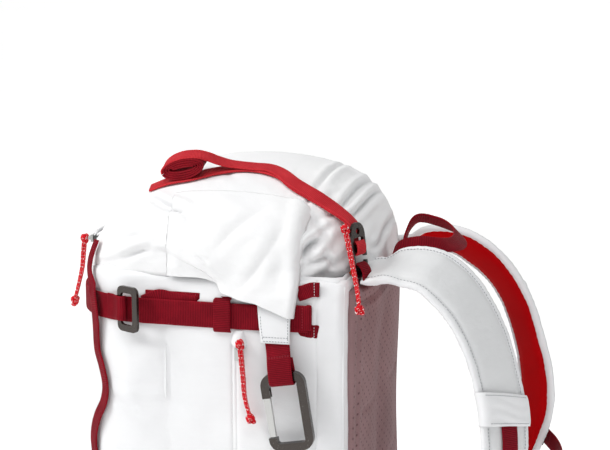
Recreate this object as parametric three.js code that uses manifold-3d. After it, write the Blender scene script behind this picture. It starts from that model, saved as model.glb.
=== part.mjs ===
// An avalanche airbag backpack, standing upright on its base, as separate sewn, moulded and metal pieces.
// Millimetres. +Z is up, +Y points to the wearer's side (back panel and shoulder straps), +X is the wearer's right.
// The origin is the middle of the flat base. The bag is hollow, with its way in under the side flap.
import * as THREE from "three";
import { mergeVertices } from "three/addons/utils/BufferGeometryUtils.js";
import Module from "manifold-3d";

const wasm = await Module();
wasm.setup();

// Driving dimensions.
const BAG = { halfWidth: 130, sideFront: -40, rear: 134, front: -148, top: 440, base: 8, wall: 5, bulge: 4 };
const DOME = { halfWidth: 134, front: 162, rear: 139, middleY: 20, foot: 443, height: 102, wall: 4 };
// Roundness of the bag and of the hood's two halves in plan, and of the hood as seen from the side.
const PLAN_POWER = { bag: 2.6, front: 3.2, rear: 2.6 };
const DOME_POWER = { side: 2.4, front: 1.75, rear: 2.4 };
const GAP = 0.5; // between neighbouring sewn pieces
const FLAP = { front: -46, rear: 88, foldX: 100, clear: 3.5, wall: 3 };
const FOAM = { halfWidth: 127, front: 135, thickness: 15, low: 66, high: 434 };
const BELT = { width: 25, thickness: 2.2, z: 409, out: 3.8 };
const TOP_STRAP = { width: 15, thickness: 2 };
const CARABINER = { width: 43, length: 76, bar: 8, depth: 7, x: 146.5, y: 78, z: 356, tilt: 0.16 };
const STRAP = { thickness: 11, leftReach: 14 };
const SYSTEM = { trigger: 0.53, sternum: 0.88 }; // shares of the strap, from the yoke down
const HIP = { hingeX: 116, hingeY: 158, z: 98 };
const FAN = { x: -42, y: 76, z: 350, radius: 35, height: 46, wall: 2.5 };
const CORD = { radius: 2.4, knot: 4.2 };

const COLOUR = {
  white: 0xf2f3f5, lightGrey: 0xd9dadb, burgundy: 0x8c1522, red: 0xb0101a, mauve: 0x8f7a7d,
  gunmetal: 0x5b5954, silver: 0xa9a9a6, black: 0x202022, grey: 0x6a6c70, orange: 0xd9481c,
};
const SURFACE = { fabric: [0.9, 0], webbing: [0.8, 0], foam: [0.85, 0], metal: [0.35, 1], plastic: [0.5, 0] };

const pack = new THREE.Group();
const lerp = THREE.MathUtils.lerp;
const smooth = THREE.MathUtils.smoothstep;
const vec = (p) => new THREE.Vector3(...p);
const mirrored = (points) => points.map(([x, y, z]) => [-x, y, z]);

// ---------- Geometry helpers ----------

// Adds one named mesh to the pack.
function piece(name, geometry, colour, surface) {
  const [roughness, metalness] = SURFACE[surface];
  const material = new THREE.MeshStandardMaterial({ color: COLOUR[colour], roughness, metalness });
  const mesh = new THREE.Mesh(geometry, material);
  mesh.name = name;
  pack.add(mesh);
  return mesh;
}

// Six times the volume inside an indexed geometry, negative where it is inside out.
function signedVolume(geometry) {
  const p = geometry.attributes.position;
  const [a, b, c] = [new THREE.Vector3(), new THREE.Vector3(), new THREE.Vector3()];
  let sum = 0;
  for (let i = 0; i < geometry.index.count; i += 3) {
    a.fromBufferAttribute(p, geometry.index.getX(i));
    b.fromBufferAttribute(p, geometry.index.getX(i + 1));
    c.fromBufferAttribute(p, geometry.index.getX(i + 2));
    sum += a.dot(b.cross(c));
  }
  return sum;
}

// A box of nu by nv by nw cells, with each corner moved to place(u, v, w), where u, v and w run from 0 to 1.
function warp(nu, nv, nw, place) {
  const geometry = new THREE.BoxGeometry(1, 1, 1, nu, nv, nw);
  const p = geometry.attributes.position;
  for (let i = 0; i < p.count; i++) {
    p.setXYZ(i, ...place(p.getX(i) + 0.5, p.getY(i) + 0.5, p.getZ(i) + 0.5));
  }
  if (signedVolume(geometry) < 0) {
    const index = geometry.index.array;
    for (let i = 0; i < index.length; i += 3) [index[i], index[i + 1]] = [index[i + 1], index[i]];
  }
  return geometry;
}

// A geometry as a manifold-3d solid, and back.
function solid(geometry) {
  const bare = geometry.clone();
  bare.deleteAttribute("normal");
  bare.deleteAttribute("uv");
  const merged = mergeVertices(bare, 1e-3);
  const vertProperties = new Float32Array(merged.attributes.position.array);
  return new wasm.Manifold(new wasm.Mesh({ numProp: 3, vertProperties, triVerts: new Uint32Array(merged.index.array) }));
}

function geometryOf(made) {
  const mesh = made.getMesh();
  const geometry = new THREE.BufferGeometry();
  geometry.setAttribute("position", new THREE.BufferAttribute(mesh.vertProperties, 3));
  return geometry.setIndex(new THREE.BufferAttribute(mesh.triVerts, 1));
}

const cut = (geometry, ...tools) => geometryOf(tools.reduce((a, b) => a.subtract(solid(b)), solid(geometry)));
const join = (geometry, ...others) => geometryOf(others.reduce((a, b) => a.add(solid(b)), solid(geometry)));
const within = (geometry, other) => geometryOf(solid(geometry).intersect(solid(other)));

// A box from its lowest to its highest corner.
function block([x0, y0, z0], [x1, y1, z1]) {
  const geometry = new THREE.BoxGeometry(x1 - x0, y1 - y0, z1 - z0);
  return geometry.translate((x0 + x1) / 2, (y0 + y1) / 2, (z0 + z1) / 2);
}

// A cylinder with its middle at `at`, along the axis "x", "y" or "z".
function rod(radius, length, at, axis = "z", sides = 20) {
  const geometry = new THREE.CylinderGeometry(radius, radius, length, sides);
  if (axis === "z") geometry.rotateX(Math.PI / 2);
  if (axis === "x") geometry.rotateZ(Math.PI / 2);
  return geometry.translate(...at);
}

const curveOf = (points) => new THREE.CatmullRomCurve3(points.map(vec), false, "centripetal");

// A flat band along a curve through `points`. `across` gives its width direction at each point, `width(u)` its
// width, and `rise` how far its middle stands off the curve.
function band(points, across, width, thickness, steps, rise = 0) {
  const path = curveOf(points);
  const sides = curveOf(across);
  return warp(steps, 1, 1, (u, v, w) => {
    const along = path.getTangent(u);
    const side = sides.getPoint(u);
    side.addScaledVector(along, -side.dot(along)).normalize();
    const normal = new THREE.Vector3().crossVectors(side, along);
    const at = path.getPoint(u).addScaledVector(side, (v - 0.5) * width(u));
    return at.addScaledVector(normal, (w - 0.5) * thickness + rise).toArray();
  });
}

// A band whose width direction is the same all along.
const flatBand = (points, side, width, thickness, steps) =>
  band(points, points.map(() => side), () => width, thickness, steps);

// A round tube along a curve through `points`.
function tube(points, radius, steps, sides = 8) {
  const ring = new THREE.Shape().absarc(0, 0, radius, 0, 2 * Math.PI);
  const settings = { steps, extrudePath: curveOf(points), curveSegments: sides / 2 };
  return new THREE.ExtrudeGeometry(ring, settings);
}

// A rectangle with round corners, as a Shape or a hole's Path.
function roundRect(width, height, radius, Kind = THREE.Shape, x = 0, y = 0) {
  const [w, h, quarter] = [width / 2 - radius, height / 2 - radius, Math.PI / 2];
  const outline = new Kind();
  outline.absarc(x + w, y + h, radius, 0, quarter);
  outline.absarc(x - w, y + h, radius, quarter, 2 * quarter);
  outline.absarc(x - w, y - h, radius, 2 * quarter, 3 * quarter);
  outline.absarc(x + w, y - h, radius, 3 * quarter, 4 * quarter);
  outline.closePath();
  return outline;
}

// A flat plate of the given outline, with its middle plane at z = 0.
function plate(shape, thickness, curveSegments = 4) {
  const geometry = new THREE.ExtrudeGeometry(shape, { depth: thickness, bevelEnabled: false, curveSegments });
  return geometry.translate(0, 0, -thickness / 2);
}

// ---------- The bag's own surface ----------

// Half-width of the bag at height z, before the sides' bulge.
function halfWidth(z) {
  const low = Math.max(0, 1 - z / 50);
  const high = Math.max(0, (z - 400) / 40);
  return BAG.halfWidth * (1 - 0.08 * low * low - 0.03 * high * high);
}

// The front's furthest reach at height z.
function frontY(z) {
  const low = Math.max(0, 1 - z / 60);
  const high = Math.max(0, (z - 320) / 120);
  return BAG.front + 12 * low * low + 4 * high * high;
}

// x of the right side's outer face at (y, z).
function sideX(y, z) {
  const middle = (BAG.sideFront + BAG.rear) / 2;
  const half = (BAG.rear - BAG.sideFront) / 2;
  return halfWidth(z) + BAG.bulge * Math.max(0, 1 - ((y - middle) / half) ** 2);
}

// A point on the rounded front, at `angle` from 0 at the right seam to pi at the left one, `out` mm outside it.
function frontPoint(angle, z, out = 0) {
  const [c, s] = [Math.cos(angle), Math.sin(angle)];
  const power = 2 / PLAN_POWER.bag;
  const x = Math.sign(c) * Math.abs(c) ** power * (halfWidth(z) + out);
  const y = BAG.sideFront - GAP + (frontY(z) - BAG.sideFront - out) * Math.abs(s) ** power;
  return [x, y, z];
}

// The dome's roundness from the side, where `share` runs from 0 at its side to 1 at its front or rear.
const domePower = (share, front) => lerp(DOME_POWER.side, front ? DOME_POWER.front : DOME_POWER.rear, share);

// A point of the hood's dome over (u, v), each from -1 to 1, `inset` mm inside its outer face.
function domePoint(u, v, inset = 0) {
  const ring = Math.max(Math.abs(u), Math.abs(v), 1e-6);
  const angle = Math.atan2(v, u);
  const [c, s] = [Math.cos(angle), Math.sin(angle)];
  const plan = v > 0 ? PLAN_POWER.rear : PLAN_POWER.front;
  const across = DOME.halfWidth - inset;
  const deep = (v > 0 ? DOME.rear : DOME.front) - inset;
  const sum = Math.abs(c) ** plan + Math.abs(s) ** plan;
  const edge = sum ** (-1 / plan);
  const power = 2 / domePower(Math.abs(s) ** plan / sum, v < 0);
  const reach = Math.sin((ring * Math.PI) / 2) ** power;
  const rise = Math.cos((ring * Math.PI) / 2) ** power;
  return [across * edge * c * reach, DOME.middleY + deep * edge * s * reach, DOME.foot + (DOME.height - inset) * rise];
}

// Height of the dome's outer face over (x, y).
function domeZ(x, y) {
  const front = y < DOME.middleY;
  const plan = front ? PLAN_POWER.front : PLAN_POWER.rear;
  const deep = Math.abs((y - DOME.middleY) / (front ? DOME.front : DOME.rear)) ** plan;
  const sum = Math.max(1e-9, Math.abs(x / DOME.halfWidth) ** plan + deep);
  const power = domePower(deep / sum, front);
  const r = Math.min(1, sum ** (1 / plan));
  return DOME.foot + DOME.height * (1 - r ** power) ** (1 / power);
}

// ---------- The bag: sewn panels around the hollow ----------

function makeBag() {
  const low = BAG.base + GAP;
  const height = (v) => lerp(low, BAG.top, v);
  const front = warp(18, 7, 1, (u, v, w) => {
    const angle = Math.PI * u;
    return frontPoint(angle, height(v), -BAG.wall * w);
  });
  piece("front_panel", front, "white", "fabric");

  const side = (mirror) =>
    warp(8, 7, 1, (u, v, w) => {
      const y = lerp(BAG.sideFront, BAG.rear, u);
      return [mirror * (sideX(y, height(v)) - BAG.wall * w), y, height(v)];
    });
  piece("side_panel_right", side(1), "white", "fabric");
  piece("side_panel_left", side(-1), "white", "fabric");

  const rear = warp(6, 4, 1, (u, v, w) => {
    const z = height(v);
    return [lerp(-1, 1, u) * (halfWidth(z) - BAG.wall - GAP), BAG.rear - BAG.wall * w, z];
  });
  piece("rear_panel", rear, "white", "fabric");

  const outline = [];
  for (let i = 0; i <= 16; i++) outline.push(frontPoint((Math.PI * i) / 16, 0));
  outline.push([-halfWidth(0), BAG.rear, 0], [halfWidth(0), BAG.rear, 0]);
  const sole = new THREE.Shape(outline.map(([x, y]) => new THREE.Vector2(x, y)));
  piece("base_panel", plate(sole, BAG.base).translate(0, 0, BAG.base / 2), "lightGrey", "fabric");
}

// ---------- The hood over the top, the airbag's cover, and what lies under them ----------

function domeShell(inset, wall, cells) {
  return warp(cells, cells, 1, (u, v, w) => domePoint(2 * u - 1, 2 * v - 1, inset + wall * w));
}

function makeHood() {
  const shell = domeShell(0, DOME.wall, 14);
  const seam = 70; // y of the seam between the hood and the airbag's cover
  const everything = 400;
  const ahead = block([-everything, -everything, 0], [everything, seam - GAP, everything * 2]);
  const behind = block([-everything, seam, 0], [everything, everything, everything * 2]);
  const doorway = block([FLAP.foldX - 1, FLAP.front - 1.5, 0], [everything, FLAP.rear + 1.5, everything * 2]);
  piece("hood", cut(within(shell, ahead), doorway), "white", "fabric");
  piece("airbag_cover", cut(within(shell, behind), doorway), "white", "fabric");

  // The packed airbag fills the back of the dome, above the bag's rear edge.
  const core = within(
    warp(8, 8, 1, (u, v, w) => {
      const [x, y, z] = domePoint(2 * u - 1, 2 * v - 1, 9);
      return [x, y, w ? z : DOME.foot];
    }),
    block([-98, 66, DOME.foot + 1], [96, 146, 560]),
  );
  piece("packed_airbag", core, "orange", "fabric");
}

// ---------- The side flap, its webbing and its carabiner ----------

// z of the flap's lower hem at y, lowest towards the rear, where the webbing is.
function flapHem(y) {
  return lerp(452, 425, smooth(y, -30, 84));
}

function makeFlap() {
  const flap = new THREE.Group();
  pack.add(flap);
  const skirt = warp(10, 10, 1, (u, v, w) => {
    const y = lerp(FLAP.front, FLAP.rear, u);
    const out = FLAP.clear - FLAP.wall * w;
    const bend = 0.62; // the share of the flap that lies on the dome
    if (v < bend) {
      const x = lerp(FLAP.foldX, DOME.halfWidth - 0.6, Math.sin(((v / bend) * Math.PI) / 2));
      const z = domeZ(x, y);
      const blend = v / bend;
      return [x + out * blend, y, z + out * (1 - blend)];
    }
    const top = domeZ(DOME.halfWidth - 0.6, y);
    return [DOME.halfWidth - 0.6 + out, y, lerp(top, flapHem(y), (v - bend) / (1 - bend))];
  });
  piece("flap", skirt, "white", "fabric");

  const outer = DOME.halfWidth + FLAP.clear + 1.6;
  const tab = warp(3, 4, 1, (u, v, w) => {
    const y = lerp(lerp(49, 54, v), lerp(84, 83, v), u);
    return [outer + 2 * w, y, lerp(438, 386, v)];
  });
  piece("flap_tab", tab, "white", "fabric");

  // The webbing leaves the tab, turns round the carabiner's top bar and comes back up behind it.
  const { x: barX, y: barY, z: barZ } = CARABINER;
  const webbing = flatBand(
    [[outer + 3.6, 71, 394], [outer + 4.6, 73.4, 382], [barX + 5.8, 76.8, barZ + 8], [barX + 6.8, barY, barZ],
      [barX + 5.6, barY + 0.8, barZ - 5.8], [barX, barY + 1.2, barZ - 8.1], [barX - 5.6, barY + 0.8, barZ - 5.8],
      [barX - 6.8, barY, barZ], [barX - 5.8, 76.8, barZ + 8], [barX - 4.6, 75.6, barZ + 16]],
    [0, 1, 0.16], 23.4, 1.7, 22,
  );
  piece("flap_webbing", webbing, "burgundy", "webbing");
}

// The carabiner is drawn flat in its own (y, z) plane, hanging from its top bar, then tilted and moved into place.
function placeCarabiner(geometry) {
  // The drawing's x becomes y, its y becomes z, and its z becomes x.
  const turn = new THREE.Matrix4().makeBasis(vec([0, 1, 0]), vec([0, 0, 1]), vec([1, 0, 0]));
  geometry.applyMatrix4(turn);
  geometry.rotateX(CARABINER.tilt);
  return geometry.translate(CARABINER.x, CARABINER.y, CARABINER.z);
}

function makeCarabiner() {
  const { width, length, bar, depth } = CARABINER;
  const half = length / 2;
  const outline = roundRect(width, length, 12);
  outline.holes.push(roundRect(width - 2 * bar, length - 2 * bar, 2.4, THREE.Path));
  const ring = plate(outline, depth, 5).translate(0, bar / 2 - half, 0);
  const pivotY = -15;
  const noseY = -length + 18;
  const gateX = -width / 2 + bar / 2;
  // The gate's side of the ring is open between the pivot's two ears and the nose.
  const opening = block([gateX - 5, noseY, -9], [gateX + 4.6, pivotY - 4.2, 9]);
  const slot = block([gateX - 5, pivotY - 6, -2.6], [gateX + 9, pivotY + 5, 2.6]);
  const ears = cut(ring, opening, slot);
  const rivet = rod(1.1, depth - 0.4, [gateX, pivotY, 0], "z", 12);
  piece("carabiner_body", placeCarabiner(join(ears, rivet)), "gunmetal", "metal");

  const gateLength = pivotY - noseY - 1.2;
  const blade = new THREE.Shape();
  blade.absarc(0, 0, 3.2, 0, Math.PI);
  blade.lineTo(-2.8, -gateLength);
  blade.lineTo(2.8, -gateLength);
  blade.closePath();
  const hole = rod(1.5, 12, [0, 0, 0], "z", 12);
  const gate = cut(plate(blade, 4.6, 4), hole).translate(gateX, pivotY, 0);
  piece("carabiner_gate", placeCarabiner(gate), "silver", "metal");
}


// ---------- The back: frame sheet, moulded foam, harness yoke and haul loop ----------

function makeBack() {
  const low = 20;
  const sheet = block([-112, BAG.rear - 9.5, low], [112, BAG.rear - 7, 430]);
  const stay = (x) => block([x - 6, BAG.rear - 12.5, low + 15], [x + 6, BAG.rear - 9, 415]);
  piece("frame_sheet", join(sheet, stay(-70), stay(70)), "grey", "plastic");

  // The pad is hollowed at the small of the back, thins towards its sides and has a channel down its middle.
  const foam = warp(14, 11, 1, (u, v, w) => {
    const z = lerp(FOAM.low, FOAM.high, v);
    const hollow = Math.exp(-(((z - 280) / 80) ** 2));
    const x = lerp(-1, 1, u) * (FOAM.halfWidth - 7 * hollow) * (1 - 0.05 * (2 * v - 1) ** 4);
    const channel = 6 * Math.exp(-((x / 26) ** 2)) * smooth(v, 0.05, 0.25) * (1 - smooth(v, 0.8, 0.98));
    const sides = (Math.max(0, Math.abs(x) - 60) / 67) ** 1.2;
    const ends = smooth(Math.abs(2 * v - 1), 0.9, 1);
    const full = FOAM.thickness - 5 * hollow;
    const thickness = full * (1 - 0.66 * sides) * (1 - 0.2 * ends) - channel;
    return [x, FOAM.front + GAP + thickness * w, z];
  });
  piece("back_foam", foam, "mauve", "foam");

  const face = FOAM.front + FOAM.thickness + 1.2;
  const yoke = roundRect(157, 9.5, 3);
  const settings = { depth: 3, bevelEnabled: false, curveSegments: 3 };
  const yokePlate = new THREE.ExtrudeGeometry(yoke, settings).rotateX(Math.PI / 2);
  piece("harness_yoke", yokePlate.translate(0, face + 3, 437.6), "white", "fabric");

  const loop = band(
    [[42, 158.5, 436], [42, 162, 450], [42, 170, 463], [41, 188, 468], [33, 210, 466], [14, 221, 464],
      [-12, 222, 465], [-34, 213, 470], [-42, 194, 476], [-42, 175, 478], [-42, 164, 464], [-42, 158.5, 436]],
    [[1, 0, 0], [0.9, 0, -0.2], [0.8, 0, -0.6], [0.75, 0, -0.65], [0.6, 0.4, -0.65], [0.2, 0.75, -0.65],
      [-0.2, 0.75, -0.65], [-0.6, 0.4, -0.65], [-0.75, 0, -0.65], [-0.8, 0, -0.6], [-0.9, 0, -0.2], [-1, 0, 0]],
    () => 18, 1.8, 40,
  );
  piece("haul_loop", loop, "burgundy", "webbing");
}

// ---------- Shoulder straps ----------

// The right strap's middle line from the yoke over the shoulder and down the chest, and its direction to the neck.
const STRAP_MIDDLE = [[82, 161, 448], [82, 181, 452], [82, 205, 450], [82, 222, 440], [82, 240, 421], [83, 258, 390],
  [85, 271, 352], [89, 279, 315], [95, 282, 276], [101, 278, 237], [106, 268, 200]];
const STRAP_NECK = [[-45, 21, 15], [-45, 10, 29], [-45, 9, 35], [-45, 17, 36], [-45, 21, 33], [-45, 29, 20],
  [-45, 33, 9], [-45, 36, 4], [-45, 36, 0], [-45, 32, 0], [-45, 24, 0]];
const strapWidth = (u) => lerp(50, 60, smooth(u, 0, 0.35)) - 18 * smooth(u, 0.75, 1);

// The middle line of the strap on the `mirror` side; the left one reaches a little further out.
function strapLine(mirror) {
  const reach = (i) => (mirror < 0 ? STRAP.leftReach * smooth(i, 1, 5) * (1 - 0.6 * smooth(i, 7, 10)) : 0);
  return STRAP_MIDDLE.map(([x, y, z], i) => [mirror * x, y + reach(i), z]);
}
const strapNeck = (mirror) => STRAP_NECK.map(([x, y, z]) => [mirror * x, y, z]);

// A band along the strap from share `from` to share `to`, its middle `out` mm outside the strap's own middle.
function alongStrap(mirror, from, to, width, thickness, out, steps) {
  const path = curveOf(strapLine(mirror));
  const sides = curveOf(strapNeck(mirror));
  const shares = Array.from({ length: 9 }, (_, i) => lerp(from, to, i / 8));
  const points = shares.map((u) => path.getPoint(u).toArray());
  const across = shares.map((u) => sides.getPoint(u).toArray());
  return band(points, across, width, thickness, steps, -mirror * out);
}

// Moves a geometry drawn with x across, y outward and z up the strap to share u of the strap, `out` mm off its middle.
function strapPlace(mirror, u, out, shift = 0) {
  const path = curveOf(strapLine(mirror));
  const along = path.getTangent(u);
  const side = curveOf(strapNeck(mirror)).getPoint(u);
  side.addScaledVector(along, -side.dot(along)).normalize().multiplyScalar(-mirror);
  const up = along.clone().negate();
  const outward = new THREE.Vector3().crossVectors(up, side);
  const at = path.getPoint(u).addScaledVector(outward, out).addScaledVector(side, shift);
  return new THREE.Matrix4().makeBasis(side, outward, up).setPosition(at);
}

function makeShoulderStrap(mirror, sideName) {
  const half = STRAP.thickness / 2;
  const padding = band(strapLine(mirror), strapNeck(mirror), strapWidth, STRAP.thickness, 30);
  piece(`shoulder_strap_${sideName}`, padding, "white", "foam");

  const start = mirror < 0 ? 0.72 : 0.69; // below the trigger handle on the left, under the keeper on the right
  const webbing = alongStrap(mirror, start, 0.985, () => 20, 1.6, half + 2, 14);
  piece(`strap_webbing_${sideName}`, webbing, "burgundy", "webbing");

  // A ladder lock at the strap's end takes the lower webbing, which comes back to the bag's side seam.
  const frame = roundRect(30, 26, 4);
  frame.holes.push(roundRect(21.4, 5.4, 1.5, THREE.Path, 0, 7));
  frame.holes.push(roundRect(21.4, 5.4, 1.5, THREE.Path, 0, -4));
  const lock = plate(frame, 4, 2).rotateX(Math.PI / 2);
  lock.applyMatrix4(strapPlace(mirror, 1, 1).multiply(new THREE.Matrix4().makeTranslation(0, 0, -14)));
  piece(`ladder_lock_${sideName}`, lock, "black", "plastic");

  const reach = mirror < 0 ? 0.4 * STRAP.leftReach : 0;
  const lower = flatBand(
    [[107, 257 + reach, 166], [112, 247 + reach, 160], [121, 222 + reach / 2, 152], [130, 185, 147],
      [134.6, 155, 146], [136, 138, 146], [136, 116, 146]].map(([x, y, z]) => [mirror * x, y, z]),
    [0, 0, 1], 20, 1.6, 22,
  );
  piece(`lower_webbing_${sideName}`, lower, "burgundy", "webbing");
}

function makeSternumStrap(mirror, sideName) {
  const u = SYSTEM.sternum;
  const out = STRAP.thickness / 2 + 5.6;
  // The slider's loop stands round the strap's own webbing and ends in the cross strap.
  const slider = join(block([-13, -1, -10], [13, 1, 10]), block([-13, -5, -10], [-11.6, 0, 10]), block([11.6, -5, -10], [13, 0, 10]));
  slider.applyMatrix4(strapPlace(mirror, u, out));
  piece(`sternum_slider_${sideName}`, slider, "black", "plastic");

  // The webbing leaves the slider towards the neck edge, then turns to the middle of the chest.
  const onSlider = (x) => new THREE.Vector3(-mirror * x, 3.4, 0).applyMatrix4(strapPlace(mirror, u, out)).toArray();
  const [, y, z] = onSlider(32);
  const cross = flatBand(
    [onSlider(-9), onSlider(4), onSlider(18), onSlider(32), [mirror * 62, y + 6, z - 1], [mirror * 44, y + 9, z - 2],
      [mirror * 27, y + 9.5, z - 2]],
    [0, 0, 1], 20, 1.6, 14,
  );
  piece(`sternum_webbing_${sideName}`, cross, "burgundy", "webbing");
  const buckle = roundRect(20, 26, 5);
  if (mirror < 0) buckle.holes.push(roundRect(9, 14, 2, THREE.Path, 3, 0));
  const half = plate(buckle, 7, 3).rotateX(Math.PI / 2);
  piece(`sternum_buckle_${sideName}`, half.translate(mirror * 16, y + 9.5 + 3.5, z - 2), "black", "plastic");
}

function makeStraps() {
  makeShoulderStrap(1, "right");
  makeShoulderStrap(-1, "left");
  makeSternumStrap(1, "right");
  makeSternumStrap(-1, "left");

  // A sewn elastic keeper crosses the right strap's outer face, lower at the neck edge.
  const keeper = warp(3, 6, 1, (u, v, w) => {
    const share = lerp(0.645, 0.725, u) + lerp(0.046, 0.02, u) * (v - 0.5);
    const place = strapPlace(1, share, STRAP.thickness / 2 + 3.3 + 1.2 * w, 62 * (0.5 - v));
    return new THREE.Vector3().applyMatrix4(place).toArray();
  });
  piece("strap_keeper", keeper, "white", "fabric");

  // The airbag's trigger handle sits in a sleeve on the left strap.
  const outerFace = STRAP.thickness / 2;
  const sleeve = cut(block([-13, 0, -32], [13, 7.4, 32]), block([-9.6, 1.6, -40], [9.6, 5.8, 28]));
  sleeve.applyMatrix4(strapPlace(-1, SYSTEM.trigger, outerFace + 1.2, -7));
  piece("trigger_sleeve", sleeve, "white", "fabric");
  const handle = join(block([-7, 2.4, -40], [7, 5, 22]), block([-11, 1.4, -54], [11, 6, -39]));
  handle.applyMatrix4(strapPlace(-1, SYSTEM.trigger, outerFace + 1.2, -7));
  piece("trigger_handle", handle, "orange", "plastic");
}

// ---------- Hip belt and leg strap ----------

function makeHipBelt(mirror, sideName) {
  const points = [[HIP.hingeX - 8, HIP.hingeY, HIP.z], [118, 172, HIP.z], [124, 205, HIP.z], [120, 244, HIP.z],
    [104, 278, HIP.z], [82, 298, HIP.z]].map(([x, y, z]) => [mirror * x, y, z]);
  const height = (u) => lerp(74, 46, smooth(u, 0.1, 1));
  const wing = band(points, points.map(() => [0, 0, 1]), height, 12, 18);
  piece(`hip_wing_${sideName}`, wing, "white", "foam");
  const webbing = flatBand(
    [[78, 307.5, HIP.z], [64, 313, HIP.z], [48, 317, HIP.z], [33, 318, HIP.z]].map(([x, y, z]) => [mirror * x, y, z]),
    [0, 0, 1], 38, 1.8, 8,
  );
  piece(`hip_webbing_${sideName}`, webbing, "burgundy", "webbing");
  const outline = roundRect(30, 48, 7);
  if (mirror < 0) outline.holes.push(roundRect(12, 26, 3, THREE.Path, 5, 0));
  const buckle = plate(outline, 10, 3).rotateX(Math.PI / 2).translate(mirror * 17.3, 318, HIP.z);
  piece(`hip_buckle_${sideName}`, buckle, "black", "plastic");
}

function makeHips() {
  makeHipBelt(1, "right");
  makeHipBelt(-1, "left");
  const leg = flatBand(
    [[-72, 139, 42], [-70, 148, 38], [-60, 157, 33], [-36, 166, 28], [0, 170, 25], [36, 166, 28], [60, 157, 33],
      [70, 148, 38], [72, 139, 42]],
    [0, 0, 1], 20, 1.8, 26,
  );
  piece("leg_strap", leg, "burgundy", "webbing");
}

// ---------- Side belt with its keeper, anchor and hook ----------

// A point at (y, z) on the bag's right side, `out` mm outside it, whether that is the flat side or the rounded front.
function rightSurface(y, z, out) {
  if (y >= BAG.sideFront) return [sideX(y, z) + out, y, z];
  const depth = frontY(z) - BAG.sideFront - out;
  const s = Math.min(1, Math.abs((y - BAG.sideFront + GAP) / depth)) ** (PLAN_POWER.bag / 2);
  return frontPoint(Math.asin(s), z, out);
}

function makeSideBelt() {
  const { out } = BELT;
  const points = [];
  for (let y = 100; y > BAG.sideFront; y -= 20) points.push([sideX(y, BELT.z) + out, y, BELT.z]);
  for (let i = 0; i <= 16; i++) points.push(frontPoint((Math.PI * i) / 16, BELT.z, out));
  for (let y = -20; y <= 100; y += 20) points.push([-sideX(y, BELT.z) - out, y, BELT.z]);
  piece("side_belt", flatBand(points, [0, 0, 1], BELT.width, BELT.thickness, 48), "burgundy", "webbing");

  // The belt's spare end is folded back under it and stands a little above its top edge.
  const tail = [-58, -45, -32, -18, -4].map((y) => rightSurface(y, 417, 1.6));
  piece("belt_tail", flatBand(tail, [0, 0, 1], 24, 1.4, 8), "burgundy", "webbing");

  const x = sideX(18, BELT.z);
  const keeper = flatBand(
    [[x + 0.9, 18, 428], [x + 1.4, 18, 425], [x + 5.2, 18, 424], [x + 7.2, 18, 420], [x + 7.2, 18, 409],
      [x + 7.2, 18, 398], [x + 5.2, 18, 394], [x + 1.4, 18, 393], [x + 0.9, 18, 390]],
    [0, 1, 0], 17, 1.2, 20,
  );
  piece("belt_keeper", keeper, "burgundy", "webbing");

  // The belt passes through a slot between the anchor's two sewn tabs, and is sewn back on itself.
  const seamY = 108;
  const anchorX = sideX(seamY, BELT.z) + 0.8;
  const anchor = cut(
    block([anchorX, seamY - 12, 388], [anchorX + 1.8, seamY + 4, 448]),
    block([anchorX - 1, seamY - 20, 395], [anchorX + 9, seamY - 4, 436]),
  );
  piece("belt_anchor", anchor, "burgundy", "webbing");
}

// The hook lies over the belt on the bag's front corner, held by its front bar, and swings out from the bag.
const HOOK_BAR = { y: -84, out: 8.9, z: 411 };

function makeBeltHook() {
  const bar = vec(rightSurface(HOOK_BAR.y, HOOK_BAR.z, HOOK_BAR.out));
  const outline = roundRect(27, 44, 6);
  outline.holes.push(roundRect(16, 31, 3, THREE.Path, -1, 0));
  const ring = plate(outline, 3, 4).translate(10.5, 0, 0);
  // The drawing's x runs back along the belt and its y runs up; the plate's rear edge stands off the belt.
  const open = 0.5;
  const back = new THREE.Vector3(Math.sin(open), Math.cos(open), 0);
  const up = new THREE.Vector3(0, 0, 1);
  const normal = new THREE.Vector3().crossVectors(back, up);
  ring.applyMatrix4(new THREE.Matrix4().makeBasis(back, up, normal).setPosition(bar));
  piece("belt_hook", ring, "gunmetal", "metal");

  const foot = (y, out) => rightSurface(y, HOOK_BAR.z, out);
  const loop = flatBand(
    [foot(-100, 6.1), foot(-93, 6.8), foot(-89.5, 9.5), foot(-86, 12.4), foot(-81, 12.2), foot(-79.3, 9.2), foot(-80, 6.4)],
    [0, 0, 1], 24, 1.3, 16,
  );
  piece("belt_hook_loop", loop, "burgundy", "webbing");
}

// ---------- Top strap, its roll, its hook and the loop that the hook holds ----------

const TOP_HOOK = { at: [95, 140, 470], lean: 0.14, turn: 0.35 };

// The hook's plate is drawn flat, x across and y up, then turned to face the wearer's side and leant with the hood.
function hookFrame() {
  const across = new THREE.Vector3(Math.cos(TOP_HOOK.turn), -Math.sin(TOP_HOOK.turn), 0);
  const up = new THREE.Vector3(0, -TOP_HOOK.lean, 1);
  up.addScaledVector(across, -up.dot(across)).normalize();
  const normal = new THREE.Vector3().crossVectors(across, up).negate();
  return { across, up, outward: normal, at: vec(TOP_HOOK.at) };
}

// A point `side` mm across, `up` mm up and `out` mm off the hook's plate.
function onHook(side, up, out) {
  const f = hookFrame();
  return f.at.addScaledVector(f.across, side).addScaledVector(f.up, up).addScaledVector(f.outward, out).toArray();
}

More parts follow.
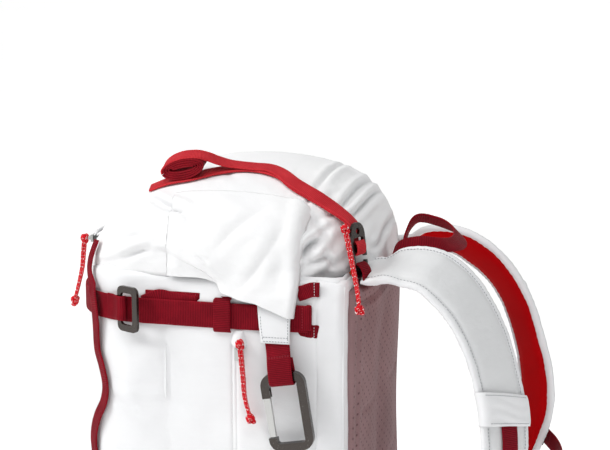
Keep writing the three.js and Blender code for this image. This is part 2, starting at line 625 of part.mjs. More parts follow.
function makeTopStrap() {
  const width = TOP_STRAP.width;
  const onDome = (x, y, out) => [x, y, domeZ(x, y) + out];
  const slope = (x, y) => (domeZ(x + 5, y) - domeZ(x - 5, y)) / 10;
  const strapX = (y) => 80 - 15 * smooth(y, -30, 16) * (1 - smooth(y, 44, 84)) + 8 * smooth(y, 40, 104);
  const stations = [-70, -50, -28, -6, 16, 38, 60, 78, 92, 103];
  const line = stations.map((y) => onDome(strapX(y), y, 2.4));
  const points = [...line, onHook(-2, 24, -5.5), onHook(0, 12, -3.6), onHook(0, 1, -3.8), onHook(0, -3.6, -2.6),
    onHook(0, -4.4, 0), onHook(0, -3.6, 2.6), onHook(0, 0, 3.8), onHook(0, 5, 3.8), onHook(0, 8.4, 2.2)];
  const { across } = hookFrame();
  const lying = (i) => {
    const y = stations[Math.min(i, stations.length - 1)];
    return vec([1, 0, slope(strapX(y), y)]);
  };
  const sides = points.map((_, i) => lying(i).lerp(across, smooth(i, 8, 11)).toArray());
  piece("top_strap", band(points, sides, () => width, TOP_STRAP.thickness, 52), "red", "webbing");

  // The strap's spare end is wound into a flattened roll that lies on the strap, and leaves it over its top.
  const turns = 4;
  const [rollX, rollY, rollZ] = onDome(80, -35, 15.6);
  const lean = (domeZ(rollX, -15) - domeZ(rollX, -55)) / 40;
  const spiral = Array.from({ length: 64 }, (_, i) => {
    const share = i / 63;
    const angle = Math.PI / 2 + (1 - share) * turns * 2 * Math.PI;
    const radius = lerp(2, 11, share);
    const along = 1.95 * radius * Math.cos(angle);
    return [rollX, rollY + along, rollZ + radius * Math.sin(angle) + lean * along];
  });
  spiral.push([rollX, -24, rollZ + 11], [rollX - 2, -14, rollZ + 8]);
  const rollSides = spiral.map(() => [1, 0, slope(rollX, rollY)]);
  for (const [y, out] of [[-5, 11], [6, 7], [20, 5.6], [38, 5.4], [58, 5.4], [76, 5.4]]) {
    spiral.push(onDome(strapX(y), y, out));
    rollSides.push([1, 0, slope(strapX(y), y)]);
  }
  piece("top_strap_roll", band(spiral, rollSides, () => width, 1.6, 140), "red", "webbing");

  const outline = new THREE.Shape();
  outline.absarc(0, 14, 12, 0, Math.PI);
  outline.lineTo(-12, -21);
  outline.absarc(-7, -21, 5, Math.PI, 1.5 * Math.PI);
  outline.lineTo(7, -26);
  outline.absarc(7, -21, 5, 1.5 * Math.PI, 2 * Math.PI);
  outline.lineTo(12, -11);
  outline.lineTo(8.6, -11);
  outline.lineTo(8.6, -17);
  outline.lineTo(-8.6, -17);
  outline.lineTo(-8.6, -1.6);
  outline.lineTo(8.6, -1.6);
  outline.lineTo(8.6, -7);
  outline.lineTo(12, -7);
  outline.closePath();
  const hex = new THREE.Path();
  for (let i = 0; i < 6; i++) {
    const corner = [3.4 * Math.cos((Math.PI * i) / 3), 17.5 + 3.4 * Math.sin((Math.PI * i) / 3)];
    if (i === 0) hex.moveTo(...corner);
    else hex.lineTo(...corner);
  }
  hex.closePath();
  outline.holes.push(hex, roundRect(17.2, 6.6, 1.4, THREE.Path, 0, 8.2));
  const { across: x, up: y, outward: z, at } = hookFrame();
  const basis = new THREE.Matrix4().makeBasis(x.clone().negate(), y, z).setPosition(at);
  piece("top_hook", plate(outline, 3, 5).applyMatrix4(basis), "gunmetal", "metal");

  const loop = band(
    [[88, 157, 436.5], onHook(0, -30, 4.8), onHook(0, -24, 4.4), onHook(0, -18, 4.2), onHook(0, -14.2, 2.8),
      onHook(0, -12.9, 0), onHook(0, -14.2, -2.8), onHook(0, -18, -4), onHook(0, -23, -3.9), onHook(0, -27.5, -3.4)],
    Array.from({ length: 10 }, () => x.toArray()), () => 15.6, 1.6, 26,
  );
  piece("hook_anchor_loop", loop, "burgundy", "webbing");
}

// ---------- Front strap, zips and their cords ----------

function makeFrontStrap() {
  // It hangs loosely down the bag's front right corner, over the belt.
  const points = [[95, -121, 468.5], [97.5, -123.5, 460.5], [98.5, -126.5, 450.5], [98.5, -128, 440.5], [101, -126.5, 433.2],
    [107.5, -122.5, 426.8], [114, -119.5, 420.2], [117.5, -116.5, 403.2], [115.7, -116.2, 386], [114.2, -115.7, 362.3],
    [118.2, -110.2, 347.3], [121.2, -105.7, 327.9], [120.2, -108, 313.4], [114.2, -117.2, 295], [109.7, -122.2, 281],
    [107.5, -124, 268], [106, -123, 250], [105.5, -121.8, 238]];
  const width = (u) => lerp(10, 14.5, smooth(u, 0.2, 0.45));
  piece("front_strap", band(points, points.map(() => [0.74, 0.67, 0]), width, 1.6, 34), "burgundy", "webbing");
}

// y of the front's outer face at (x, z), on the bag or on the hood above it.
function frontFaceY(x, z) {
  if (z <= DOME.foot) {
    const across = Math.abs(x / halfWidth(z)) ** PLAN_POWER.bag;
    return BAG.sideFront - GAP + (frontY(z) - BAG.sideFront) * (1 - across) ** (1 / PLAN_POWER.bag);
  }
  let [outside, inside] = [DOME.middleY - DOME.front, DOME.middleY];
  for (let i = 0; i < 40; i++) {
    const y = (outside + inside) / 2;
    if (domeZ(x, y) > z) inside = y;
    else outside = y;
  }
  return inside;
}

// A doubled pull cord along `points`, with a knot at each end.
function pullCord(name, points, steps) {
  const knot = (p) => new THREE.IcosahedronGeometry(CORD.knot, 1).translate(...p);
  const cord = join(tube(points, CORD.radius, steps), knot(points[0]), knot(points[points.length - 1]));
  piece(name, cord, "red", "fabric");
}

// A zip slider drawn with z up its zip and y outward.
function slider() {
  const body = block([-3.6, 0, -6], [3.6, 2.4, 6]);
  const bridge = cut(block([-1.6, 2, -5], [1.6, 5.4, 5]), block([-3, 2.4, -3.2], [3, 4, 3.2]));
  return join(body, bridge);
}

function makeZips() {
  const frontY0 = frontFaceY(0, 458) - 0.8;
  const frontSlider = slider().rotateX(Math.PI).rotateY(Math.PI / 2).translate(50, frontY0, 462);
  piece("front_zip_slider", frontSlider, "silver", "metal");
  pullCord("front_zip_cord", [[50, frontY0 - 10.8, 461], [50, frontY0 - 12.4, 446], [50, frontY0 - 14, 431],
    [50, frontY0 - 18, 414], [50, frontY0 - 23, 396]], 14);

  const x = sideX(36, 398);
  const sideSlider = slider().rotateZ(-Math.PI / 2).translate(x + 0.8, 33, 372);
  piece("side_zip_slider", sideSlider, "silver", "metal");
  pullCord("side_zip_cord", [[x + 9.6, 36.5, 384], [x + 9.4, 38, 368], [x + 9, 39.5, 350], [x + 9, 41, 332],
    [x + 9.6, 46.5, 312]], 14);

  pullCord("airbag_zip_cord", [[109, 130, 492], [113.5, 135, 474], [119.5, 140, 456], [127.5, 145.5, 438],
    [135.6, 149.5, 421]], 14);
}

// ---------- Airbag system inside the bag ----------

function makeSystem() {
  const { x, y, z, radius, height, wall } = FAN;
  const half = height / 2;
  // The housing narrows to an outlet duct that meets the packed airbag.
  const profile = [[radius, -half], [radius, half - 8], [24, half + 2], [24, DOME.foot - z - 0.4], [21.5, DOME.foot - z - 0.4],
    [21.5, half], [radius - wall, half - 9.5], [radius - wall, -half], [radius, -half]];
  const shell = new THREE.LatheGeometry(profile.map(([r, h]) => new THREE.Vector2(r, h)), 18).rotateX(Math.PI / 2);
  const spoke = (angle) => new THREE.BoxGeometry(2 * radius - 2, 4, 3).rotateZ(angle).translate(0, 0, 1.5 - half);
  const motor = rod(10, 18, [0, 0, 9 - half], "z", 16);
  const housing = join(shell, spoke(0), spoke(Math.PI / 3), spoke((2 * Math.PI) / 3), motor);
  piece("fan_housing", housing.translate(x, y, z), "black", "plastic");

  let hub = rod(14, 16, [0, 0, 8], "z", 18);
  const blades = Array.from({ length: 8 }, (_, i) => {
    const blade = new THREE.BoxGeometry(17, 1.6, 13).translate(21, 0, 7).rotateX(0.25);
    return blade.rotateZ((i * Math.PI) / 4);
  });
  hub = cut(join(hub, ...blades), rod(11, 30, [0, 0, -2], "z", 18));
  piece("impeller", hub.translate(x, y, z - half + 7), "grey", "plastic");

  piece("power_module", block([4, 88, 290], [96, BAG.rear - 13, 420]), "black", "plastic");
}

makeBag();
makeHood();
makeFlap();
makeCarabiner();
makeBack();
makeStraps();
makeHips();
makeSideBelt();
makeBeltHook();
makeTopStrap();
makeFrontStrap();
makeZips();
makeSystem();

export default pack;
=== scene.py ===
import math

import bmesh
import bpy
import numpy as np
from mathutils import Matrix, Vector


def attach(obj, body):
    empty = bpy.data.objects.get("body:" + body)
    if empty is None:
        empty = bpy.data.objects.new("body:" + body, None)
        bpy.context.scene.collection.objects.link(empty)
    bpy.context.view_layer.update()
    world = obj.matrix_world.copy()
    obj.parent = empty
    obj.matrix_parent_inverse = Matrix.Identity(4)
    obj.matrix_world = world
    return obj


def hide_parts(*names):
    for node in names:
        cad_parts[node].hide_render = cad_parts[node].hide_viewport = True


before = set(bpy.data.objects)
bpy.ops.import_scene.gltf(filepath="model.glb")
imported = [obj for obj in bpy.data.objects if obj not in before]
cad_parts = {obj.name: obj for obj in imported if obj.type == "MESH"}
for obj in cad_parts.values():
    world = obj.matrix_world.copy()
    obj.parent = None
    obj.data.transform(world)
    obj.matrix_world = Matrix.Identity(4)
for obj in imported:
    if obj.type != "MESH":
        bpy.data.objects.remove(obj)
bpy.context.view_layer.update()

BAG = dict(half_width=130, side_front=-40, rear=134, front=-148, bulge=4)
DOME = dict(half_width=134, front=162, rear=139, middle=20, foot=443, height=102)
FLAP = dict(front=-37.5, fold_x=100, clear=3.5)
# The opening in the hood that the flap covers.
DOORWAY = dict(side=99.2, front=FLAP["front"] - 1.2, rear=89.5)
# Powers of the hood's outline in plan, ahead of its middle and behind it, and of the bag's rounded front.
FRONT_PLAN, REAR_PLAN, BAG_PLAN = 3.2, 2.6, 2.6
BELT_Z, BELT_OUT = 409, 3.8
ZIP_Y, ZIP_TOP, ZIP_FOOT = 33.0, 384, 112
SEAM_Y = 70


# ---------- Camera, lights and floor ----------

def make_camera():
    azimuth, elevation = math.radians(103), math.radians(10)
    level = math.cos(elevation)
    back = Vector((math.sin(azimuth) * level, -math.cos(azimuth) * level, math.sin(elevation)))
    data = bpy.data.cameras.new("camera")
    data.lens, data.sensor_width = 100, 36
    data.clip_end = 30
    camera = bpy.data.objects.new("camera", data)
    camera.location = (1.6390, 0.4447, 0.7708)
    camera.rotation_euler = back.to_track_quat("Z", "Y").to_euler()
    bpy.context.scene.collection.objects.link(camera)
    bpy.context.scene.camera = camera


def area_light(name, place, target, size, watts, colour=(1, 1, 1)):
    data = bpy.data.lights.new(name, "AREA")
    data.shape, data.size, data.energy, data.color = "DISK", size, watts, colour
    lamp = bpy.data.objects.new(name, data)
    lamp.location = place
    lamp.rotation_euler = (Vector(place) - Vector(target)).to_track_quat("Z", "Y").to_euler()
    bpy.context.scene.collection.objects.link(lamp)


def make_lights():
    area_light("key", (0.9, -1.7, 1.9), (0, 0, 0.35), 1.1, 33, (1, 0.995, 0.985))
    area_light("top", (0.8, 0.1, 2.2), (0, 0, 0.45), 1.5, 18)
    area_light("fill", (2.2, 1.5, 1.0), (0, 0.1, 0.35), 1.6, 3, (0.97, 0.98, 1))
    world = bpy.data.worlds.new("studio")
    bpy.context.scene.world = world
    world.use_nodes = True
    background = world.node_tree.nodes["Background"]
    background.inputs["Color"].default_value = (1, 1, 1, 1)
    background.inputs["Strength"].default_value = 0.29
    bpy.context.scene.view_settings.view_transform = "Standard"


make_camera()
make_lights()


# ---------- Numbers and curves ----------

def lerp(a, b, t):
    return a + (b - a) * t


def smooth(x, a, b):
    t = np.clip((np.asarray(x, float) - a) / (b - a), 0, 1)
    return t * t * (3 - 2 * t)


def unit(v):
    return v / np.maximum(np.linalg.norm(v, axis=-1, keepdims=True), 1e-9)


class Curve:
    """A centripetal Catmull-Rom curve, the same one as the CAD source uses."""

    def __init__(self, points):
        p = np.asarray(points, float)
        self.points = np.vstack([2 * p[0] - p[1], p, 2 * p[-1] - p[-2]])
        self.spans = len(p) - 1

    def at(self, u):
        u = np.clip(np.asarray(u, float), 0, 1) * self.spans
        i = np.minimum(u.astype(int), self.spans - 1)
        w = (u - i)[:, None]
        a, b, c, d = (self.points[i + k] for k in range(4))
        gap = lambda q, r: np.maximum(((r - q) ** 2).sum(1, keepdims=True), 1e-12) ** 0.25
        d0, d1, d2 = gap(a, b), gap(b, c), gap(c, d)
        t1 = ((b - a) / d0 - (c - a) / (d0 + d1) + (c - b) / d1) * d1
        t2 = ((c - b) / d1 - (d - b) / (d1 + d2) + (d - c) / d2) * d1
        start, end = 2 * w**3 - 3 * w**2 + 1, 3 * w**2 - 2 * w**3
        return start * b + (w**3 - 2 * w**2 + w) * t1 + end * c + (w**3 - w**2) * t2


def run_lengths(p):
    """The length along a line of points, at each of them."""
    return np.concatenate([[0], np.cumsum(np.linalg.norm(np.diff(p, axis=0), axis=1))])


def stations(points, across, cell):
    """Evenly spaced places along a curve: points, tangents, directions across, lengths and shares."""
    dense = np.linspace(0, 1, 600)
    run = run_lengths(Curve(points).at(dense))
    count = max(6, int(run[-1] / cell) + 1)
    length = np.linspace(0, run[-1], count)
    u = np.interp(length, run, dense)
    at = Curve(points).at(u)
    tangent = unit(np.gradient(at, axis=0))
    side = Curve(across).at(u)
    side = unit(side - (side * tangent).sum(1, keepdims=True) * tangent)
    return at, tangent, side, length, u


def waves(p, pitch, seed, count=9):
    """A smooth random field over points p, about -1 to 1, whose features are about `pitch` mm across."""
    source = np.random.default_rng(seed)
    total = np.zeros(len(p))
    for _ in range(count):
        k = unit(source.normal(size=3)) * 2 * math.pi / (pitch * source.uniform(0.7, 1.6))
        total += np.sin(p @ k + source.uniform(0, 2 * math.pi))
    return total / math.sqrt(count)


# ---------- The bag's and the hood's surfaces, as in the CAD source ----------

def half_width(z):
    low = np.maximum(0, 1 - z / 50)
    high = np.maximum(0, (z - 400) / 40)
    return BAG["half_width"] * (1 - 0.08 * low**2 - 0.03 * high**2)


def front_y(z):
    low = np.maximum(0, 1 - z / 60)
    high = np.maximum(0, (z - 320) / 120)
    return BAG["front"] + 12 * low**2 + 4 * high**2


def side_x(y, z):
    middle, half = (BAG["side_front"] + BAG["rear"]) / 2, (BAG["rear"] - BAG["side_front"]) / 2
    return half_width(z) + BAG["bulge"] * np.maximum(0, 1 - ((y - middle) / half) ** 2)


def front_point(angle, z, out=0.0):
    c, s = np.cos(angle), np.sin(angle)
    x = np.sign(c) * np.abs(c) ** (2 / BAG_PLAN) * (half_width(z) + out)
    y = BAG["side_front"] - 0.5 + (front_y(z) - BAG["side_front"] - out) * np.abs(s) ** (2 / BAG_PLAN)
    return x, y


def on_side(y, z, out=0.0, mirror=1):
    """Points on the right side or, with mirror -1, the left, `out` mm outside it, round on to the front."""
    y, z = np.broadcast_arrays(np.asarray(y, float), np.asarray(z, float))
    depth = front_y(z) - BAG["side_front"] - out
    s = np.minimum(1, np.abs((y - BAG["side_front"] + 0.5) / depth)) ** (BAG_PLAN / 2)
    fx, fy = front_point(np.arcsin(s), z, out)
    flat = y >= BAG["side_front"]
    x = np.where(flat, side_x(y, z) + out, fx)
    return np.stack([mirror * x, np.where(flat, y, fy), z], -1)


def dome_point(u, v, inset=0.0):
    ring = np.maximum(np.maximum(np.abs(u), np.abs(v)), 1e-6)
    angle = np.arctan2(v, u)
    c, s = np.cos(angle), np.sin(angle)
    plan = np.where(v > 0, REAR_PLAN, FRONT_PLAN)
    sum_ = np.abs(c) ** plan + np.abs(s) ** plan
    edge = sum_ ** (-1 / plan)
    share = np.abs(s) ** plan / sum_
    power = 2 / (2.4 + (np.where(v < 0, 1.75, 2.4) - 2.4) * share)
    reach = np.sin(ring * math.pi / 2) ** power
    rise = np.cos(np.minimum(ring, 1) * math.pi / 2).clip(0) ** power
    deep = np.where(v > 0, DOME["rear"], DOME["front"]) - inset
    x = (DOME["half_width"] - inset) * edge * c * reach
    y = DOME["middle"] + deep * edge * s * reach
    return np.stack([x, y, DOME["foot"] + (DOME["height"] - inset) * rise], -1)


def dome_z(x, y):
    x, y = np.broadcast_arrays(np.asarray(x, float), np.asarray(y, float))
    front = y < DOME["middle"]
    plan = np.where(front, FRONT_PLAN, REAR_PLAN)
    deep = np.abs((y - DOME["middle"]) / np.where(front, DOME["front"], DOME["rear"])) ** plan
    total = np.maximum(1e-9, np.abs(x / DOME["half_width"]) ** plan + deep)
    power = 2.4 + (np.where(front, 1.75, 2.4) - 2.4) * deep / total
    r = np.minimum(1, total ** (1 / plan))
    return DOME["foot"] + DOME["height"] * (1 - r**power) ** (1 / power)


def front_face_y(x, z):
    if z <= DOME["foot"]:
        across = abs(x / half_width(z)) ** BAG_PLAN
        return BAG["side_front"] - 0.5 + (front_y(z) - BAG["side_front"]) * (1 - across) ** (1 / BAG_PLAN)
    outside, inside = DOME["middle"] - DOME["front"], DOME["middle"]
    for _ in range(40):
        y = (outside + inside) / 2
        outside, inside = (outside, y) if dome_z(x, y) > z else (y, inside)
    return inside


def top_strap_x(y):
    """Where the middle of the top strap runs across the hood."""
    return 80 - 15 * smooth(y, -30, 16) * (1 - smooth(y, 44, 84)) + 8 * smooth(y, 40, 104)


# ---------- Folds ----------

# Each fold: its line, its depth (a valley's is positive) and its half-width. A soft ridge lies beside it.
FOLDS = [
    ([(92, -70, 514), (95.5, -63.5, 512), (107.5, -46.6, 507.7), (115, -31, 502.7), (119, -16, 499)], 6.5, 7),
    ([(97, -65, 510), (103.5, -73, 501), (110.5, -79, 490)], 3.0, 8),
    ([(108, -100, 468), (112.5, -95, 471.5), (118, -81, 476), (120.5, -68, 481), (120, -54, 489)], 3.2, 7),
    ([(121, -86, 456.7), (124.5, -73, 464), (126.5, -60, 469.6), (127.5, -47.7, 474.2)], 2.4, 6),
    ([(132, -8.8, 465.2), (132.5, -2.8, 462.6), (133, 3.2, 459.2)], 1.6, 3.5),
    ([(128, 94, 458), (119.5, 96, 471), (114.5, 101.4, 478), (109, 108, 482)], 12, 8),
    ([(125, 90, 452), (119, 100.5, 460.8), (112, 112.4, 463.8), (105, 122.5, 459)], 4.0, 6),
    ([(118, 105, 450), (114, 113, 447), (104, 127, 446)], 3.0, 4),
    ([(112.5, 108.7, 471.4), (110, 116, 459.7), (105.5, 122.6, 451.5)], 3.5, 5),
    ([(102.5, 94.8, 502.5), (104.5, 107, 491), (104, 116.4, 480)], 3.0, 7),
    ([(92, 113, 500), (83.5, 118, 503), (59, 123.4, 512), (20, 126, 518), (-30, 126, 517), (-80, 118, 503)],
     6.0, 6.5),
    ([(90, 123, 490), (70, 131, 498), (40, 136, 505), (0, 137.5, 508), (-50, 135, 504)], 6.0, 6),
    ([(80, 145, 470), (59, 150, 467), (29, 153.5, 477.7), (-10, 153, 482), (-50, 150, 478)], 3.6, 6),
    ([(75, 93, 524), (60, 96, 527), (42, 97, 531), (10, 97.5, 533.7), (-30, 97, 532), (-75, 93, 524)],
     3.2, 5),
    ([(72, 79, 528), (81, 88, 521), (89, 91, 515), (99, 90, 508)], 3.0, 5),
    ([(60, -90, 500), (30, -105, 497), (-10, -108, 496), (-50, -98, 496)], 4.0, 10),
    ([(80, -118, 470), (40, -130, 468), (0, -133, 470), (-50, -128, 466), (-90, -108, 468)], 3.0, 9),
    ([(40, -20, 543), (60, -5, 538), (85, 20, 528)], 1.6, 9),
    ([(-95, -63, 512), (-112, -45, 505), (-120, -20, 498)], 5.0, 8),
    ([(-118, -75, 478), (-126, -40, 472), (-129, 0, 470), (-127, 50, 474)], 3.5, 8),
    ([(-125, 60, 462), (-118, 95, 470), (-106, 112, 478)], 4.0, 8),
    ([(-60, 20, 541), (-85, 30, 530), (-105, 40, 514)], 2.2, 9),
]
# The lower fold of the hood on the right, along (y, z): the cloth below it lies deeper.
HEM_LINE = np.array([(-128, 450), (-112, 452), (-99, 456), (-86, 461), (-67, 468), (-45, 470), (-36, 469),
                     (-23, 463), (1, 452.5), (12, 444), (30, 430)], float)


def fold_relief(p, folds=FOLDS):
    """How far folds push each of the points p outward, in mm."""
    out = np.zeros(len(p))
    for line, depth, width in folds:
        line = Curve(line).at(np.linspace(0, 1, 24))
        box = (p > line.min(0) - 4 * width).all(1) & (p < line.max(0) + 4 * width).all(1)
        if not box.any():
            continue
        q = p[box]
        best, along = np.full(len(q), 1e9), np.zeros(len(q))
        for i in range(len(line) - 1):
            a, b = line[i], line[i + 1]
            t = np.clip(((q - a) @ (b - a)) / max(((b - a) ** 2).sum(), 1e-9), 0, 1)
            d = np.linalg.norm(q - a - t[:, None] * (b - a), axis=1)
            near = d < best
            best[near], along[near] = d[near], ((i + t) / (len(line) - 1))[near]
        taper = np.sin(np.pi * np.clip(along, 0.02, 0.98)) ** 0.6
        valley = np.exp(-((best / (0.4 * width)) ** 1.6))
        ridge = np.exp(-(((best - 1.15 * width) / (0.6 * width)) ** 2))
        out[box] += depth * taper * (0.42 * ridge - valley)
    return out


def hem_step(p):
    """How much deeper the cloth lies under the hood's lower fold on the right side."""
    z = np.interp(p[:, 1], HEM_LINE[:, 0], HEM_LINE[:, 1])
    window = smooth(p[:, 0], 40, 95) * smooth(p[:, 1], -128, -104) * (1 - smooth(p[:, 1], 10, 26))
    below = 1 - smooth(p[:, 2] - z, -2.2, 1.4)
    lip = np.exp(-(((p[:, 2] - z - 3.5) / 4) ** 2))
    return window * (1.1 * lip - 3.6 * below)


def dome_relief(p):
    calm = 0.35 + 0.65 * smooth(np.abs(p[:, 1] - 20), 40, 110)
    loose = 1.0 * waves(p, 62, 3) * calm + 0.3 * waves(p * (1, 1, 1.6), 21, 5) * calm
    rear = smooth(p[:, 1], 84, 100) * smooth(p[:, 0], 50, 90)
    # Small pleats climb the rear corner, from low at the front to high at the back.
    pleats = rear * 1.5 * np.sin((p[:, 2] - 0.8 * p[:, 1]) / 3.4 + 1.4 * waves(p, 40, 8))
    seam = -0.4 * np.exp(-(((p[:, 1] - SEAM_Y) / 1.8) ** 2)) * (p[:, 0] < 99)
    foot = smooth(p[:, 2], 443, 452)
    total = fold_relief(p) + (loose + pleats - 0.8 * rear) * (0.3 + 0.7 * foot) + seam + hem_step(p)
    # The cloth stays down under the top strap.
    under = np.exp(-(((p[:, 0] - top_strap_x(p[:, 1])) / 12) ** 4)) * (p[:, 2] > 470) * (p[:, 1] > -75)
    return total * (1 - under) + np.minimum(total, 0.4) * under


BAG_FOLDS = [
    ([(134, 132, 436), (134.5, 118, 425), (134, 104, 408)], 1.3, 4),
    ([(134, 132, 430), (134.5, 121, 405), (134, 112, 372)], 1.2, 4.5),
    ([(134, 133, 420), (134.5, 127, 380), (134, 121, 330)], 1.2, 5),
    ([(134, -30, 386), (134, 10, 390), (134, 60, 385)], 0.7, 6),
    ([(128, -62, 300), (120, -90, 318), (104, -112, 330)], 2.2, 8),
    ([(125, -75, 372), (110, -105, 376), (90, -125, 380)], 2.0, 5),
    ([(129, -50, 240), (110, -105, 226), (60, -138, 232)], 2.2, 12),
    ([(134, -20, 150), (134, 50, 160), (134, 110, 148)], 1.6, 14),
    ([(133, -25, 80), (134, 50, 74), (133, 120, 86)], 1.8, 12),
    ([(-133, -25, 120), (-134, 50, 112), (-133, 120, 126)], 1.8, 13),
    ([(-134, -30, 330), (-134, 30, 322), (-134, 110, 336)], 1.5, 12),
    ([(-125, -75, 372), (-100, -115, 376), (-40, -144, 380)], 2.0, 8),
    ([(60, -140, 110), (0, -147, 104), (-60, -140, 114)], 2.0, 12),
    ([(40, -143, 330), (0, -147, 324), (-50, -142, 332)], 1.8, 9),
]


def bag_relief(p):
    middle = smooth(p[:, 2], 8, 60) * (1 - smooth(p[:, 2], 415, 440))
    flat = (p[:, 1] > -40) & (p[:, 1] < 128)
    calm = np.where(flat, 0.55, 1.0) * (1 - 0.7 * smooth(p[:, 1], 124, 134))
    loose = (1.25 * waves(p * (1, 1, 0.8), 70, 13) + 0.45 * waves(p * (1, 1, 1.3), 26, 15)) * middle * calm
    # A pocket's corner stands out on the front right edge, behind a welt at the front seam.
    pocket = smooth(p[:, 2], 318, 328) * (1 - smooth(p[:, 2], 372, 379)) * (p[:, 0] > 60)
    pocket = pocket * smooth(p[:, 1], -92, -74) * (1 - smooth(p[:, 1], -40.5, -38.5)) * 2.4
    belt = -0.8 * np.exp(-(((p[:, 2] - BELT_Z) / 14) ** 4))
    under = smooth(p[:, 0], 92, 100) * smooth(-p[:, 1], 92, 102) * smooth(p[:, 2], 225, 245)
    total = fold_relief(p, BAG_FOLDS) * calm**0.5 + loose + pocket
    return total * (1 - under) + np.minimum(total, 0.0) * under + belt


def relieved(points, normals, relief, out=0.0):
    """points moved along their normals by a relief, and by `out` more."""
    p = points.reshape(-1, 3)
    n = normals.reshape(-1, 3)
    return (p + n * (relief(p) + out)[:, None]).reshape(points.shape)


def side_skin(y, z, out=0.0, mirror=1):
    """Points on the visible side, with its relief."""
    y = np.asarray(y, float)
    p = on_side(y, z, 0.0, mirror)
    ahead = on_side(y + 0.5, z, 0.0, mirror) - on_side(y - 0.5, z, 0.0, mirror)
    n = unit(np.cross(ahead, np.broadcast_to([0.0, 0.0, 1.0], ahead.shape))) * mirror
    return relieved(p, n, bag_relief, out), n


# ---------- Meshes ----------

def mesh_object(name, points, faces, uv=None, share=None, material_index=None):
    mesh = bpy.data.meshes.new(name)
    metres = np.asarray(points, float).reshape(-1, 3) * 0.001
    mesh.from_pydata(metres.tolist(), [], [tuple(map(int, f)) for f in faces])
    corner = np.empty(len(mesh.loops), dtype=np.int32)
    mesh.loops.foreach_get("vertex_index", corner)
    for label, values in (("metres", uv), ("share", share)):
        if values is not None:
            layer = mesh.uv_layers.new(name=label)
            layer.data.foreach_set("uv", np.asarray(values, float).reshape(-1, 2)[corner].ravel())
    if material_index is not None:
        mesh.polygons.foreach_set("material_index", np.asarray(material_index, dtype=np.int32))
    mesh.polygons.foreach_set("use_smooth", np.ones(len(mesh.polygons), dtype=bool))
    mesh.update()
    piece = bpy.data.objects.new(name, mesh)
    bpy.context.scene.collection.objects.link(piece)
    return piece


def grid_faces(rows, cols, closed=False):
    """Quads over a grid of rows by cols points; with closed, the last column joins the first."""
    r, c = np.meshgrid(np.arange(rows - 1), np.arange(cols if closed else cols - 1), indexing="ij")
    a = r * cols + c
    b = r * cols + (c + 1) % cols
    return np.stack([a, b, b + cols, a + cols], -1).reshape(-1, 4)


def finish(piece, body, slot, materials, *nodes):
    for m in materials:
        piece.data.materials.append(m)
    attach(piece, body)
    if nodes:
        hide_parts(*nodes)
    return piece


def thicken(piece, thickness, offset=-1):
    m = piece.modifiers.new("cloth thickness", "SOLIDIFY")
    m.thickness, m.offset, m.use_even_offset = thickness * 0.001, offset, False
    return piece


def add_cloth(name, q, uv, material, thickness, *nodes, body="bag", slot="white_fabric", offset=-1,
              closed=False):
    """A thickened piece of cloth over a grid of points."""
    piece = mesh_object(name, q, grid_faces(*q.shape[:2], closed), uv)
    thicken(piece, thickness, offset)
    return finish(piece, body, slot, [material], *nodes)


# ---------- Materials ----------

class Nodes:
    """A material's node tree, with short calls for the nodes that these materials use."""

    def __init__(self, name):
        self.material = bpy.data.materials.new(name)
        self.material.use_nodes = True
        self.tree = self.material.node_tree
        self.shader = self.tree.nodes["Principled BSDF"]

    def node(self, kind, inputs=(), **settings):
        n = self.tree.nodes.new(kind)
        for key, value in settings.items():
            setattr(n, key, value)
        for key, value in dict(inputs).items():
            self.set(n.inputs[key], value)
        return n

    def set(self, socket, value):
        if isinstance(value, bpy.types.NodeSocket):
            self.tree.links.new(value, socket)
        elif isinstance(value, bpy.types.Node):
            self.tree.links.new(value.outputs[0], socket)
        else:
            socket.default_value = value

    def math(self, operation, a, b=0.0, c=0.0):
        return self.node("ShaderNodeMath", {0: a, 1: b, 2: c}, operation=operation)

    def place(self):
        return self.node("ShaderNodeTexCoord").outputs["Object"]

    def uv(self, layer="metres"):
        return self.node("ShaderNodeSeparateXYZ", {0: self.node("ShaderNodeUVMap", uv_map=layer)})

    def noise(self, scale, detail=3.0, stretch=(1, 1, 1), vector=None):
        vector = vector or self.place()
        if stretch != (1, 1, 1):
            stretched = self.node("ShaderNodeVectorMath", {0: vector, 1: stretch}, operation="MULTIPLY")
            vector = stretched.outputs[0]
        n = self.node("ShaderNodeTexNoise", {"Vector": vector, "Scale": scale, "Detail": detail})
        return n.outputs[0]

    def mix(self, factor, a, b):
        """A mix of two colours, each one a socket or a tuple of red, green and blue."""
        n = self.node("ShaderNodeMix", data_type="RGBA")
        for key, value in ((0, factor), (6, a), (7, b)):
            self.set(n.inputs[key], (*value, 1.0) if isinstance(value, tuple) else value)
        return n.outputs[2]

    def band(self, value, low, high):
        """0 below low, 1 above high."""
        n = self.node("ShaderNodeMapRange", {0: value, 1: low, 2: high, 3: 0.0, 4: 1.0}, clamp=True)
        return n.outputs[0]

    def bump(self, height, strength, distance, normal=None):
        n = self.node("ShaderNodeBump", {"Height": height, "Strength": strength, "Distance": distance})
        if normal is not None:
            self.set(n.inputs["Normal"], normal)
        return n.outputs[0]

    def finish(self, colour, roughness, normal=None, **constants):
        self.set(self.shader.inputs["Base Color"], colour)
        self.set(self.shader.inputs["Roughness"], roughness)
        if normal is not None:
            self.set(self.shader.inputs["Normal"], normal)
        for key, value in constants.items():
            self.shader.inputs[key.replace("_", " ")].default_value = value
        return self.material


def sine(n, value, pitch, shift=0.0):
    """A wave of the given pitch in metres along value, from 0 to 1."""
    turned = n.math("MULTIPLY_ADD", value, 2 * math.pi / pitch, shift)
    return n.math("MULTIPLY_ADD", n.math("SINE", turned), 0.5, 0.5)


